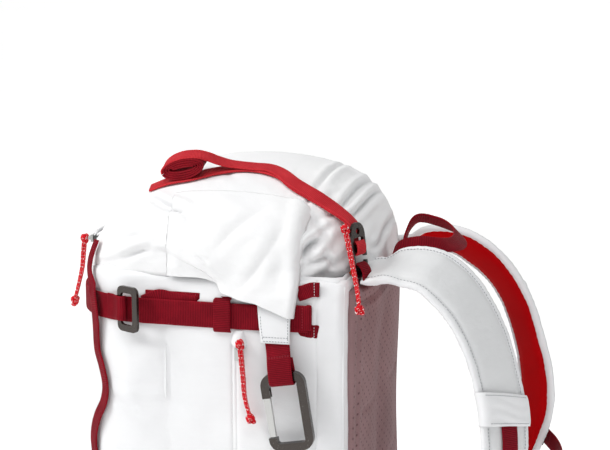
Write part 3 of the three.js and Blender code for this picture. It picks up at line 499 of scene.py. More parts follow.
def cloth(name, light, shade, weave=0.0009, sheen=0.15, roughness=0.72, wrinkle=0.5, ripstop=0.0,
          specular=0.4):
    """Woven cloth: a fine over-and-under weave, soft mottling and small creases."""
    n = Nodes(name)
    uv = n.uv()
    warp, weft = sine(n, uv.outputs[0], weave), sine(n, uv.outputs[1], weave, 1.0)
    threads = n.math("MULTIPLY", n.math("SUBTRACT", warp, 0.5), n.math("SUBTRACT", weft, 0.5))
    mottle = n.noise(9, 4)
    slub = n.noise(240, 2, (0.15, 0.15, 1.0))
    tone = n.math("MULTIPLY_ADD", slub, 0.18, n.math("MULTIPLY", n.band(mottle, 0.3, 0.7), 0.82))
    colour = n.mix(tone, shade, light)
    creases = n.noise(34, 5, (1.0, 1.0, 1.8))
    normal = n.bump(creases, 0.55 * wrinkle, 0.004)
    normal = n.bump(n.noise(130, 3), 0.3 * wrinkle, 0.0009, normal)
    height = n.math("MULTIPLY_ADD", threads, 1.0, n.math("MULTIPLY", slub, 0.25))
    if ripstop:
        lines = [n.band(sine(n, uv.outputs[k], ripstop), 0.93, 1.0) for k in (0, 1)]
        cell = n.math("MAXIMUM", *lines)
        height = n.math("ADD", height, cell)
    normal = n.bump(height, 0.35, 0.00025, normal)
    rough = n.math("MULTIPLY_ADD", mottle, 0.16, roughness - 0.08)
    return n.finish(colour, rough, normal, Sheen_Weight=sheen, Sheen_Roughness=0.4,
                    Specular_IOR_Level=specular)


def webbing(name, dark, light, pitch=0.0017, gloss=0.62):
    """Woven webbing: ribs across its width, painted darker in their grooves as shade, small picks along each
    rib, and a firmer edge on both sides.
    """
    n = Nodes(name)
    uv, share = n.uv(), n.uv("share")
    rib = sine(n, uv.outputs[0], pitch)
    pick = sine(n, n.math("ADD", uv.outputs[1], n.math("MULTIPLY", uv.outputs[0], 0.35)), 0.0011)
    edge = n.band(n.math("ABSOLUTE", n.math("SUBTRACT", share.outputs[1], 0.5)), 0.43, 0.47)
    wear = n.band(n.noise(60, 4), 0.45, 0.75)
    # The rib wave paints the grooves darker, as the shade in them; picks, wear and the lighter edge are the
    # webbing's own tone.
    tone = n.math("MULTIPLY_ADD", rib, 0.5, n.math("MULTIPLY", pick, 0.22))
    tone = n.math("ADD", tone, n.math("MULTIPLY", wear, 0.22))
    tone = n.math("MULTIPLY_ADD", edge, 0.12, tone)
    colour = n.mix(tone, dark, light)
    flat = n.math("SUBTRACT", 1.0, edge)
    height = n.math("MULTIPLY_ADD", flat, n.math("MULTIPLY", rib, 0.8), n.math("MULTIPLY", pick, 0.3))
    normal = n.bump(n.noise(45, 3), 0.35, 0.002)
    normal = n.bump(height, 0.75, 0.00045, normal)
    return n.finish(colour, n.math("MULTIPLY_ADD", rib, -0.12, gloss + 0.1), normal, Specular_IOR_Level=0.08)


def metal(name, dark, light, roughness):
    """Tumbled metal: a faint change of tone, scattered rubbed specks and a fine grain."""
    n = Nodes(name)
    specks = n.math("MULTIPLY", n.band(n.noise(420, 2), 0.66, 0.74), 0.2)
    colour = n.mix(n.math("MULTIPLY_ADD", n.noise(30, 2), 0.05, specks), dark, light)
    normal = n.bump(n.noise(1300, 2), 0.03, 0.00005)
    rough = n.math("MULTIPLY_ADD", n.noise(60, 2), 0.06, roughness - 0.03)
    return n.finish(colour, rough, normal, Metallic=1.0)


def plastic(name, dark, light, roughness=0.45):
    """Moulded plastic with a fine spark-eroded grain and small rubbed spots."""
    n = Nodes(name)
    spots = n.band(n.noise(380, 2), 0.64, 0.74)
    tone = n.math("MULTIPLY_ADD", spots, 0.3, n.math("MULTIPLY", n.noise(90, 3), 0.3))
    normal = n.bump(n.noise(1500, 2), 0.25, 0.00015)
    rough = n.math("MULTIPLY_ADD", n.noise(120, 2), 0.18, roughness - 0.09)
    return n.finish(n.mix(tone, dark, light), rough, normal)


def foam():
    """Brushed mesh over moulded foam: a fine knit with small holes in offset rows; the mesh and its holes are
    painted dark, as shade.
    """
    row_pitch, hole_pitch = 0.0052, 0.0125
    n = Nodes("mauve mesh painted dark as shade")
    at = n.node("ShaderNodeSeparateXYZ", {0: n.place()})
    row = n.math("ROUND", n.math("MULTIPLY", at.outputs[2], 1 / row_pitch))
    shift = n.math("MULTIPLY", n.math("MODULO", n.math("ABSOLUTE", row), 2.0), 0.5)
    across = n.math("ADD", n.math("MULTIPLY_ADD", at.outputs[0], 1 / hole_pitch, 20.0), shift)
    across = n.math("SUBTRACT", n.math("FRACT", across), 0.5)
    down = n.math("FRACT", n.math("MULTIPLY_ADD", at.outputs[2], 1 / row_pitch, 0.5))
    down = n.math("SUBTRACT", down, 0.5)
    squares = [n.math("POWER", n.math("MULTIPLY", a, k), 2.0) for a, k in ((across, 12.5), (down, 5.2))]
    far = n.math("SQRT", n.math("ADD", *squares))
    hole = n.math("SUBTRACT", 1.0, n.band(far, 0.8, 1.5))
    knit = sine(n, at.outputs[2], 0.0016)
    # Only the face has holes, not the pad's sides.
    facing = n.node("ShaderNodeSeparateXYZ", {0: n.node("ShaderNodeTexCoord").outputs["Normal"]})
    hole = n.math("MULTIPLY", hole, n.band(facing.outputs[1], 0.55, 0.85))
    tone = n.math("MULTIPLY_ADD", knit, 0.15, n.band(n.noise(18, 4), 0.25, 0.8))
    # The field is white mesh over red foam, painted dark mauve as the shade on the back face.
    colour = n.mix(tone, (0.22, 0.128, 0.132), (0.325, 0.205, 0.21))
    # The holes are painted darker still, as the shade inside them.
    colour = n.mix(n.math("MULTIPLY", hole, 0.75), colour, (0.09, 0.04, 0.042))
    normal = n.bump(n.noise(420, 2), 0.4, 0.0006)
    normal = n.bump(n.math("MULTIPLY_ADD", hole, -1.0, n.math("MULTIPLY", knit, 0.3)), 0.6, 0.0008, normal)
    return n.finish(colour, 0.9, normal, Sheen_Weight=0.1, Specular_IOR_Level=0.2)


def cord_material():
    """Braided accessory cord: red with white flecks that wind round it."""
    n = Nodes("flecked red cord")
    uv = n.uv()
    turn = n.math("MULTIPLY", uv.outputs[1], 2 * math.pi)
    along = n.math("MULTIPLY", uv.outputs[0], 2 * math.pi / 0.0042)
    left = n.math("SINE", n.math("ADD", along, turn))
    right = n.math("SUBTRACT", n.math("MULTIPLY", along, 0.5), n.math("MULTIPLY", turn, 2.0))
    right = n.math("SINE", right)
    fleck = n.math("MULTIPLY", n.band(left, 0.55, 0.8), n.band(right, 0.1, 0.45))
    lays = [n.math("SINE", n.math(way, n.math("MULTIPLY", along, 4.0), n.math("MULTIPLY", turn, 3.0)))
            for way in ("ADD", "SUBTRACT")]
    braid = n.math("MULTIPLY", *lays)
    colour = n.mix(n.math("MULTIPLY_ADD", braid, 0.5, 0.5), (0.50, 0.003, 0.010), (0.84, 0.010, 0.020))
    colour = n.mix(fleck, colour, (0.9, 0.86, 0.86))
    normal = n.bump(braid, 0.6, 0.0003)
    return n.finish(colour, 0.7, normal, Specular_IOR_Level=0.15)


def thread(name, colour, dark):
    n = Nodes(name)
    tone = n.noise(2500, 2)
    rough = n.math("MULTIPLY_ADD", tone, 0.2, 0.55)
    return n.finish(n.mix(tone, dark, colour), rough, n.bump(tone, 0.3, 0.0001))


# Two copies of one white fabric: the shell's is painted darker, as the shade on the sides, and the hood's
# lighter, as the light on the top.
WHITE = cloth("white cloth painted darker for the sides", (0.85, 0.855, 0.865), (0.765, 0.77, 0.785), wrinkle=0.6)
HOOD_WHITE_PAINTED_LIGHTER = cloth("white cloth painted lighter for the hood", (0.875, 0.877, 0.88), (0.81, 0.815, 0.825), wrinkle=0.6)
BINDING = cloth("white binding", (0.86, 0.865, 0.875), (0.76, 0.77, 0.785), weave=0.0012, wrinkle=0.8)
SATIN = cloth("grey strap cloth", (0.80, 0.81, 0.815), (0.68, 0.69, 0.70), weave=0.0007, sheen=0.3,
              roughness=0.5, wrinkle=0.8)
LINING = cloth("red lining", (0.60, 0.003, 0.005), (0.42, 0.002, 0.004), weave=0.0014, sheen=0.0,
               roughness=0.8, wrinkle=0.4, specular=0.03)
BASE_CLOTH = cloth("grey base cloth", (0.50, 0.505, 0.51), (0.40, 0.405, 0.415), weave=0.0014,
                   roughness=0.65, ripstop=0.008)
AIRBAG = cloth("orange airbag cloth", (0.85, 0.22, 0.05), (0.66, 0.15, 0.03), weave=0.0006, roughness=0.5,
               ripstop=0.006)
MESH = cloth("spacer mesh", (0.33, 0.33, 0.35), (0.2, 0.2, 0.215), weave=0.0028, roughness=0.85)
BURGUNDY = webbing("burgundy webbing", (0.085, 0.001, 0.005), (0.33, 0.006, 0.018))
# The top strap's webbing: the burgundy webbing painted lighter, as the light on a strap that faces up; the
# roll of its spare end keeps the darker tone.
BURGUNDY_PAINTED_LIGHTER = webbing("red webbing", (0.36, 0.010, 0.018), (0.74, 0.048, 0.058), pitch=0.0013)
ROLLED = webbing("rolled red webbing", (0.10, 0.002, 0.006), (0.36, 0.010, 0.020), pitch=0.0013)
ZIP_TAPE = webbing("white zip tape", (0.62, 0.63, 0.65), (0.82, 0.83, 0.85), pitch=0.0016)
MAUVE_PAINTED_SHADE = foam()
GUNMETAL = metal("gunmetal", (0.060, 0.052, 0.048), (0.42, 0.40, 0.38), 0.27)
SILVER = metal("bright metal", (0.50, 0.50, 0.49), (0.82, 0.82, 0.81), 0.3)
BLACK = plastic("black plastic", (0.012, 0.012, 0.013), (0.07, 0.07, 0.075))
GREY = plastic("grey plastic", (0.16, 0.165, 0.17), (0.3, 0.31, 0.32), 0.5)
ORANGE = plastic("orange plastic", (0.72, 0.12, 0.02), (0.9, 0.28, 0.1), 0.42)
CORD = cord_material()
THREAD = thread("white thread", (0.78, 0.79, 0.8), (0.55, 0.56, 0.58))
# Stitches on the white cloth: white thread painted grey, as the shade along the seams.
SHADE_THREAD = thread("white thread painted grey as seam shade", (0.44, 0.45, 0.47), (0.28, 0.29, 0.31))
RED_THREAD = thread("burgundy thread", (0.4, 0.02, 0.04), (0.16, 0.005, 0.015))


# ---------- Cords ----------

def tube(points, radius, sides=10, cell=0.8, radii=None):
    """Points, faces and UVs of a closed round tube."""
    at, tangent, side, length, _ = stations(points, [(1, 0.2, 0.1)] * len(points), cell)
    up = np.cross(tangent, side)
    angle = np.arange(sides) * 2 * math.pi / sides
    if radii is None:
        radii = [radius, radius]
    r = np.interp(np.linspace(0, 1, len(at)), np.linspace(0, 1, len(radii)), radii)
    ring = side[:, None] * np.cos(angle)[None, :, None] + up[:, None] * np.sin(angle)[None, :, None]
    p = at[:, None] + ring * r[:, None, None]
    uv = np.stack(np.broadcast_arrays(length[:, None] * 0.001, (angle / (2 * math.pi))[None]), -1)
    faces = [tuple(f) for f in grid_faces(len(at), sides, closed=True)]
    faces += [tuple(range(sides))[::-1], tuple(range((len(at) - 1) * sides, len(at) * sides))]
    return p.reshape(-1, 3), faces, uv.reshape(-1, 2)


def joined(parts):
    points, faces, uvs, start = [], [], [], 0
    for p, f, uv in parts:
        points.append(p)
        uvs.append(uv)
        faces += [tuple(i + start for i in face) for face in f]
        start += len(p)
    return np.vstack(points), faces, np.vstack(uvs)


def add_tube(name, part, body, slot, material, *nodes):
    p, f, uv = part
    return finish(mesh_object(name, p, f, uv), body, slot, [material], *nodes)


def knot(at, along, size):
    """An overhand knot: a thick strand wound once round itself."""
    along = unit(np.asarray(along, float))
    side = unit(np.cross(along, [0.3, 0.2, 1.0]))
    up = np.cross(along, side)
    count = 22
    t = np.linspace(0, 2 * math.pi * 1.75, count)
    r = size * 0.56
    line = []
    for i, a in enumerate(t):
        rise = size * 0.95 * (i / (count - 1) - 0.5) * 1.3 + 0.35 * size * math.sin(2 * a)
        line.append(np.asarray(at) + along * rise + side * r * math.cos(a) + up * r * math.sin(a))
    return tube(line, size * 0.5, sides=9, cell=0.7)


def pull_cord(name, points, body, node):
    """A doubled pull cord with a knot at its top and its bottom, and two frayed ends below."""
    strand_radius, strand_offset, count = 1.35, 1.31, 30
    points = np.asarray(points, float)
    line = Curve(points).at(np.linspace(0, 1, count))
    along = unit(np.gradient(line, axis=0))
    side = unit(np.cross(along, [1.0, 0.0, 0.15]))
    depth = np.cross(along, side)
    twist = np.linspace(-0.3, 0.9, count)[:, None]
    strands = [line + k * strand_offset * (side * np.cos(twist) + depth * np.sin(twist)) for k in (1, -1)]
    strands = joined([tube(s, strand_radius) for s in strands])
    piece = add_tube(name, strands, body, "red_cord", CORD, node)
    ends = [knot(points[0], along[0], 4.0), knot(points[-1], along[-1], 4.3)]
    for k in (1, -1):
        tail = [points[-1] + along[-1] * d + side[-1] * (k * (0.6 + 0.16 * d)) for d in (1.0, 3.0, 4.4)]
        ends.append(tube(tail, 1.0, radii=[1.0, 0.9, 1.25], cell=0.6))
    knots = add_tube(name + "_knots", joined(ends), body, "red_cord", CORD)
    return piece


def make_pull_cords():
    y0 = front_face_y(0, 458) - 0.8
    front = [(50, y0 - out, z) for out, z in ((10.8, 461), (12.4, 446), (14, 431), (18, 414), (23, 396))]
    pull_cord("front_zip_pull", front, "front_zip", "front_zip_cord")
    x0 = float(side_x(36, 398))
    side = [(x0 + 9.6, 36.5, 384), (x0 + 9.4, 38, 368), (x0 + 9, 39.5, 350), (x0 + 9, 41, 332),
            (x0 + 9.6, 46.5, 312)]
    pull_cord("side_zip_pull", side, "side_zip", "side_zip_cord")
    airbag = [(109, 130, 492), (113.5, 135, 474), (119.5, 140, 456), (127.5, 145.5, 438), (135.6, 149.5, 421)]
    pull_cord("airbag_zip_pull", airbag, "bag", "airbag_zip_cord")


make_pull_cords()


# ---------- Stitches ----------

SEWN = {}


# By default the stitches are of the grey kind: white thread painted grey, as the shade along the seams.
def sew(points, normals, body="bag", kind="grey", pitch=3.4, length=2.3, radius=0.36):
    """A row of stitches along points, each one half sunk into the surface with these normals."""
    points = np.asarray(points, float)
    normals = np.broadcast_to(np.asarray(normals, float), points.shape)
    run = run_lengths(points)
    middles = np.arange(pitch / 2, run[-1], pitch)
    if not len(middles):
        return
    pick = lambda source, where: np.stack([np.interp(where, run, source[:, k]) for k in range(3)], -1)
    at = pick(points, middles)
    before, after = np.maximum(middles - 0.4, 0), np.minimum(middles + 0.4, run[-1])
    along = unit(pick(points, after) - pick(points, before))
    up = unit(pick(normals, middles))
    side = unit(np.cross(up, along))
    SEWN.setdefault((body, kind), []).append((at, along, side, up, length / 2, radius))


def make_stitches():
    shape = np.array([(-1, 0, 0), (-0.55, 1, 0), (-0.55, 0, 1), (-0.55, -1, 0), (0.55, 1, 0), (0.55, 0, 1),
                      (0.55, -1, 0), (1, 0, 0)], float)
    cells = [(0, 2, 1), (0, 3, 2), (1, 2, 5, 4), (2, 3, 6, 5), (4, 5, 7), (5, 6, 7), (0, 1, 4, 7),
             (0, 7, 6, 3)]
    # Stitches of the grey kind are white thread painted grey, as the shade along the seams.
    finishes = {"white": (THREAD, "white_fabric"), "grey": (SHADE_THREAD, "white_fabric"),
                "burgundy": (RED_THREAD, "burgundy_webbing")}
    for (body, kind), rows in SEWN.items():
        points, faces, start = [], [], 0
        for at, along, side, up, half, radius in rows:
            p = (at[:, None] + along[:, None] * shape[None, :, :1] * half
                 + side[:, None] * shape[None, :, 1:2] * radius
                 + up[:, None] * shape[None, :, 2:] * radius * 1.15)
            points.append(p.reshape(-1, 3))
            for i in range(len(at)):
                faces += [tuple(c + start + 8 * i for c in cell) for cell in cells]
            start += 8 * len(at)
        material, slot = finishes[kind]
        finish(mesh_object(f"stitches_{body}_{kind}", np.vstack(points), faces), body, slot, [material])


# ---------- Webbing ----------

def ribbon(name, points, across, width, thickness, *nodes, body="bag", slot="burgundy_webbing",
           material=BURGUNDY, cell=2.0, rise=0.0, crown=0.0, stitch=(), thread_kind="burgundy"):
    """Webbing along a curve, with rounded edges, and rows of stitches across it at the shares in `stitch`."""
    if len(np.shape(across)) == 1:
        across = [across] * len(points)
    at, tangent, side, length, u = stations(points, across, cell)
    normal = np.cross(side, tangent)
    wide = width(u) if callable(width) else np.full(len(u), float(width))
    s = np.array([-0.5, -0.47, -0.38, -0.2, 0.0, 0.2, 0.38, 0.47, 0.5])
    lift = thickness / 2 * np.array([0, 0.82, 1, 1, 1, 1, 1, 0.82, 0])
    bow = crown * (1 - (2 * s) ** 2)
    s2 = np.concatenate([s, s[-2:0:-1]])
    h = np.concatenate([lift + bow, -lift[-2:0:-1] + bow[-2:0:-1]])
    p = (at[:, None] + side[:, None] * (s2[None, :, None] * wide[:, None, None])
         + normal[:, None] * (h[None, :, None] + rise))
    uv = np.stack(np.broadcast_arrays(length[:, None] * 0.001, s2[None] * wide[:, None] * 0.001), -1)
    share = np.stack(np.broadcast_arrays((length / length[-1])[:, None], s2[None] + 0.5), -1)
    rows, cols = p.shape[:2]
    faces = [tuple(f) for f in grid_faces(rows, cols, closed=True)]
    faces += [tuple(range(cols))[::-1], tuple(range((rows - 1) * cols, rows * cols))]
    piece = finish(mesh_object(name, p, faces, uv, share), body, slot, [material], *nodes)
    for place in stitch:
        i = min(rows - 1, int(place * (rows - 1)))
        for sign in (1, -1):
            line = (at[i] + side[i] * (np.linspace(-0.43, 0.43, 12)[:, None] * wide[i])
                    + normal[i] * (rise + sign * thickness / 2))
            sew(line, normal[i] * sign, body, thread_kind, 2.6, 1.9, 0.34)
    return piece


def trim(name, points, across, width, thickness, material, cell=4, crown=0.0):
    """A white strip: zip tape, a zip's lips, a seam or a welt."""
    ribbon(name, points, across, width, thickness, slot="white_fabric", material=material, cell=cell,
           crown=crown)


def mirrored(points, mirror):
    return [(mirror * x, y, z) for x, y, z in points]


def make_belt():
    points = [on_side(y, BELT_Z, BELT_OUT) for y in range(100, -40, -20)]
    for i in range(17):
        x, y = front_point(np.float64(math.pi * i / 16), BELT_Z, BELT_OUT)
        points.append(np.array([x, y, BELT_Z]))
    points += [on_side(y, BELT_Z, BELT_OUT, -1) for y in range(-20, 101, 20)]
    ribbon("side_belt_webbing", points, (0, 0, 1), 25, 2.2, "side_belt", cell=2.5, stitch=(0.005, 0.995))

    # The belt's spare end is folded back behind it and stands above its top edge.
    tail = [on_side(y, 417.5, 1.7) for y in (-60, -45, -32, -18, -5)]
    ribbon("belt_tail_webbing", tail, (0, 0, 1), 23, 1.6, "belt_tail", stitch=(0.93,))
    hump = [on_side(y, z, out) for y, z, out in ((-60, 413, 2.4), (-52, 417, 2.9), (-45, 419.5, 3.3),
                                                 (-37, 418.5, 3.2), (-22, 416.5, 2.9), (-8, 415.5, 2.4))]
    ribbon("belt_tail_fold", hump, (0, 0, 1), 22, 1.1)

    x = float(side_x(18, BELT_Z))
    keeper = [(x + out, 18, z) for out, z in ((0.9, 427), (1.4, 425), (5.2, 424), (7.0, 420.5), (7.2, 409),
                                              (7.0, 397.5), (5.2, 394), (1.4, 393), (0.9, 391))]
    ribbon("belt_keeper_webbing", keeper, (0, 1, 0), 17, 1.3, "belt_keeper", cell=1.2)

    # Two sewn tabs hold the belt's rear end, which is folded back on itself.
    seam_x = float(side_x(108, BELT_Z)) + 1.4
    for name, low, high, lean in (("upper", 430.5, 444.5, 5.0), ("lower", 391, 404, -2.5)):
        middle = (low + high) / 2
        tab = [(seam_x + 1.0, 90, middle - lean), (seam_x + 1.6, 97, middle - lean / 2),
               (seam_x + 1.0, 104, middle), (seam_x + 0.2, 111, middle)]
        nodes = ("belt_anchor",) if name == "upper" else ()
        ribbon(f"belt_anchor_{name}_tab", tab, (0, 0, 1), high - low, 1.6, *nodes, cell=1.2,
               stitch=(0.78,), thread_kind="white")
    end = [(seam_x + out, y, BELT_Z + 2) for out, y in ((2.6, 86), (4.4, 92), (5.4, 99), (4.6, 103),
                                                        (2.6, 103.4), (1.4, 99))]
    ribbon("belt_end_fold", end, (0, 0, 1), 24, 1.5, cell=1.0, stitch=(0.42,))

    bar = [(-100, 6.1), (-93, 6.8), (-89.5, 9.5), (-86, 12.4), (-81, 12.2), (-79.3, 9.2), (-80, 6.4)]
    bar = [on_side(y, 411, out) for y, out in bar]
    ribbon("belt_hook_webbing", bar, (0, 0, 1), 24, 1.4, "belt_hook_loop", cell=1.0)


def hook_frame():
    """Directions across, up and out of the top hook."""
    across = np.array([math.cos(0.35), -math.sin(0.35), 0])
    up = np.array([0, -0.14, 1])
    up = unit(up - (up @ across) * across)
    return across, up, -np.cross(across, up)


def on_hook(side, up, out):
    across, upward, outward = hook_frame()
    return np.array([95, 140, 470]) + across * side + upward * up + outward * out


def make_top_strap():
    on_dome = lambda x, y, out: np.array([x, y, float(dome_z(x, y)) + out])
    strap_x = lambda y: float(top_strap_x(y))
    slope = lambda x, y: (float(dome_z(x + 5, y)) - float(dome_z(x - 5, y))) / 10
    places = [-70, -50, -28, -6, 16, 38, 60, 78, 92, 103]
    line = [on_dome(strap_x(y), y, 2.4) for y in places]
    through_hook = [(-2, 24, -5.5), (0, 12, -3.6), (0, 1, -3.8), (0, -3.6, -2.6), (0, -4.4, 0),
                    (0, -3.6, 2.6), (0, 0, 3.8), (0, 5, 3.8), (0, 8.4, 2.2)]
    points = line + [on_hook(*place) for place in through_hook]
    across, _, _ = hook_frame()
    sides = []
    for i in range(len(points)):
        y = places[min(i, len(places) - 1)]
        lying = np.array([1, 0, slope(strap_x(y), y)])
        sides.append(lerp(lying, across, float(smooth(i, 8, 11))))
    # The strap and the outer turn of its roll get the burgundy webbing painted lighter, as lit from above.
    red = dict(slot="red_webbing", material=BURGUNDY_PAINTED_LIGHTER, cell=1.6)
    ribbon("top_strap_webbing", points, sides, 15, 2.0, "top_strap", stitch=(0.93,), **red)

    # The spare end is wound into a flattened roll on the strap, and its outer turn runs on over the strap.
    roll_x, roll_y, turns, count = 80, -35, 4.25, 110
    middle = on_dome(roll_x, roll_y, 14.2)
    lean = (float(dome_z(roll_x, roll_y + 20)) - float(dome_z(roll_x, roll_y - 20))) / 40
    spiral = []
    for i in range(count):
        share = i / (count - 1)
        angle = math.pi * 0.5 + (1 - share) * turns * 2 * math.pi
        along = lerp(11.5, 21.5, share) * math.cos(angle)
        spiral.append(middle + (0, along, lerp(1.4, 10.6, share) * math.sin(angle) + lean * along))
    leave = [(-23, 23.4), (-13, 18.6), (-4, 12.6), (6, 7.6), (18, 5.4), (32, 4.6), (46, 4.5), (60, 4.5),
             (74, 4.5), (88, 4.5), (100, 4.4)]
    sides = [(1, 0, slope(roll_x, roll_y))] * count + [(1, 0, slope(strap_x(y), y)) for y, _ in leave]
    sides += [across, across]
    spiral += [on_dome(strap_x(y), y, out) for y, out in leave]
    spiral += [on_hook(-2, 24, -3.4), on_hook(0, 13, -1.8)]
    outer = count - 9
    ribbon("top_strap_roll_webbing", spiral[:outer + 1], sides[:outer + 1], 15, 2.1, "top_strap_roll",
           slot="red_webbing", material=ROLLED, cell=1.2)
    ribbon("top_strap_end_webbing", spiral[outer:], sides[outer:], 15.2, 2.0, **red)

    around_hook = [(0, -27, 6.6), (0, -22, 6.8), (0, -17.5, 5.4), (0, -14.2, 2.8), (0, -12.9, 0),
                   (0, -14.2, -2.8), (0, -18, -4.2), (0, -23, -4.6), (0, -27.5, -3.4)]
    loop = [np.array([88, 154, 443])] + [on_hook(*place) for place in around_hook]
    ribbon("hook_anchor_webbing", loop, across, 15.6, 1.7, "hook_anchor_loop", cell=1.2)


def make_front_strap():
    points = [(95, -121, 468.5), (97.5, -123.5, 460.5), (98.5, -126.5, 450.5), (98.5, -128, 440.5),
              (101, -126.5, 433.2), (107.5, -122.5, 426.8), (114, -119.5, 420.2), (117.5, -116.5, 403.2),
              (115.7, -116.2, 386), (114.2, -115.7, 362.3), (118.2, -110.2, 347.3), (121.2, -105.7, 327.9),
              (120.2, -108, 313.4), (114.2, -117.2, 295), (109.7, -122.2, 281), (107.5, -124, 268),
              (106, -123, 250), (105.5, -121.8, 238)]
    width = lambda u: 10 + 4.5 * smooth(u, 0.2, 0.45)
    ribbon("front_strap_webbing", points, (0.74, 0.67, 0), width, 1.7, "front_strap", cell=1.8,
           stitch=(0.02, 0.97))


# ---------- Bag shell ----------

def make_shell():
    """One lofted shell all the way round, with soft rear corners."""
    seams = [27, 31, 108]
    beside = [np.array([s - 1.6, s - 0.8, s, s + 0.8, s + 1.6]) for s in seams]
    ys = np.concatenate([np.arange(BAG["side_front"], BAG["rear"] - 3, 2.9)] + beside)
    ys = sorted(set(np.round(ys, 2)))
    rear_turn = [(134 - 5.0, 0.25), (134 - 2.5, 1.0), (134 - 0.8, 2.6)]
    angles = np.linspace(0, math.pi, 121)[1:-1]
    z = np.concatenate([[8.5, 10, 13], np.linspace(17, 436, 142), [440, 444]])
    rows = []
    for level in z:
        edge = float(side_x(BAG["rear"], level))
        right = [(float(side_x(y, level)), y) for y in ys]
        right += [(float(side_x(y, level)) - inset, y) for y, inset in rear_turn] + [(edge - 5.5, 133.9)]
        back = [(x, 134.0) for x in np.linspace(edge - 9, -(edge - 9), 60)]
        ring = list(zip(*front_point(angles, level))) + [(-x, y) for x, y in right] + back + right[::-1]
        rows.append([(x, y, level) for x, y in ring])
    p = np.array(rows)
    wrap = np.concatenate([p[:, -1:], p, p[:, :1]], axis=1)
    ahead = unit(wrap[:, 2:] - wrap[:, :-2])
    n = np.cross(ahead, [0.0, 0.0, 1.0])
    n = unit(n * np.sign(n[..., :1] * p[..., :1] + n[..., 1:2] * p[..., 1:2]))
    q = relieved(p, n, bag_relief)
    for s in seams:
        near = np.exp(-(((p[..., 1] - s) / 1.1) ** 2)) * (np.abs(p[..., 0]) > 120)
        q -= n * (1.8 * near)[..., None]
    q[:, :, 2] = p[:, :, 2]
    q[-1, :, :2] *= 0.985
    uv = np.stack(np.broadcast_arrays(run_lengths(p[70])[None] * 0.001, p[..., 2] * 0.001), -1)
    add_cloth("bag_shell", q, uv, WHITE, 2.4, "front_panel", "side_panel_right", "side_panel_left",
              "rear_panel", closed=True)

    # Felled seams: raised strips with a row of stitches on each edge, on both sides of the bag.
    count = 180
    heights = np.linspace(12, 438, count)
    for mirror, name in ((1, "right"), (-1, "left")):
        for y, wide in ((-37.0, 6.0), (29.0, 9.0), (108.0, 4.0), (130.6, 5.5)):
            for k in (-1, 1):
                p, n = side_skin(np.full(count, y + k * wide / 2), heights, 0.25, mirror)
                sew(p, n, pitch=3.3, length=2.2, radius=0.33)
        middle, n = side_skin(np.full(count, -37.0), heights, 0.45, mirror)
        trim(f"front_seam_{name}", middle[::6], (0, 1, 0), 4.0, 1.1, BINDING, crown=0.35)
        piping = [on_side(133.2, z, -0.4, mirror) for z in np.linspace(12, 440, 24)]
        add_tube(f"rear_piping_{name}", tube(piping, 1.5, sides=8, cell=4), "bag", "white_fabric", BINDING)

    welt, _ = side_skin(np.full(9, -40.2), np.linspace(325, 377, 9), 1.3)
    trim("pocket_welt", welt, (0.2, 1, 0), 3.4, 1.8, WHITE, cell=2)
    for z0 in (325, 377):
        p, n = side_skin(np.linspace(-74, -42, 12), np.full(12, float(z0)), 0.2)
        sew(p, n)


def make_base():
    """The base: a grey panel that turns up at its edge, with a binding round it."""
    rear = BAG["rear"]
    ring = [front_point(a, 0.0) for a in np.linspace(0, math.pi, 41)]
    hw = float(half_width(0.0))
    ring += [(-hw, y) for y in np.linspace(-38, 128, 24)] + [(-hw + 2, 132.5), (-hw + 6, rear)]
    ring += [(x, rear) for x in np.linspace(-hw + 12, hw - 12, 24)] + [(hw - 6, rear), (hw - 2, 132.5)]
    ring += [(hw, y) for y in np.linspace(128, -38, 24)]
    ring = np.array([(float(x), float(y)) for x, y in ring])
    levels = [(0.05, 0.0), (0.35, 0.0), (0.65, 0.0), (0.9, 0.0), (0.985, 0.0), (0.998, 0.9), (1.004, 3.0),
              (1.004, 6.0), (0.998, 8.2)]
    p = np.array([np.column_stack([ring * k, np.full(len(ring), z)]) for k, z in levels])
    add_cloth("base_cloth", p, p[..., :2] * 0.001, BASE_CLOTH, 1.6, "base_panel", slot="grey_fabric",
              offset=1, closed=True)
    closed_ring = np.vstack([ring, ring[:1]])
    edge = [(x * 1.003, y * 1.003, 8.0) for x, y in closed_ring]
    ribbon("base_binding", edge, (0, 0, 1), 5.0, 1.2, slot="grey_fabric", material=BASE_CLOTH, cell=4)
    line = np.array([(x * 1.008, y * 1.008, 4.2) for x, y in closed_ring])
    sew(line, unit(line * (1, 1, 0)))


# ---------- Hood, flap and what lies under them ----------

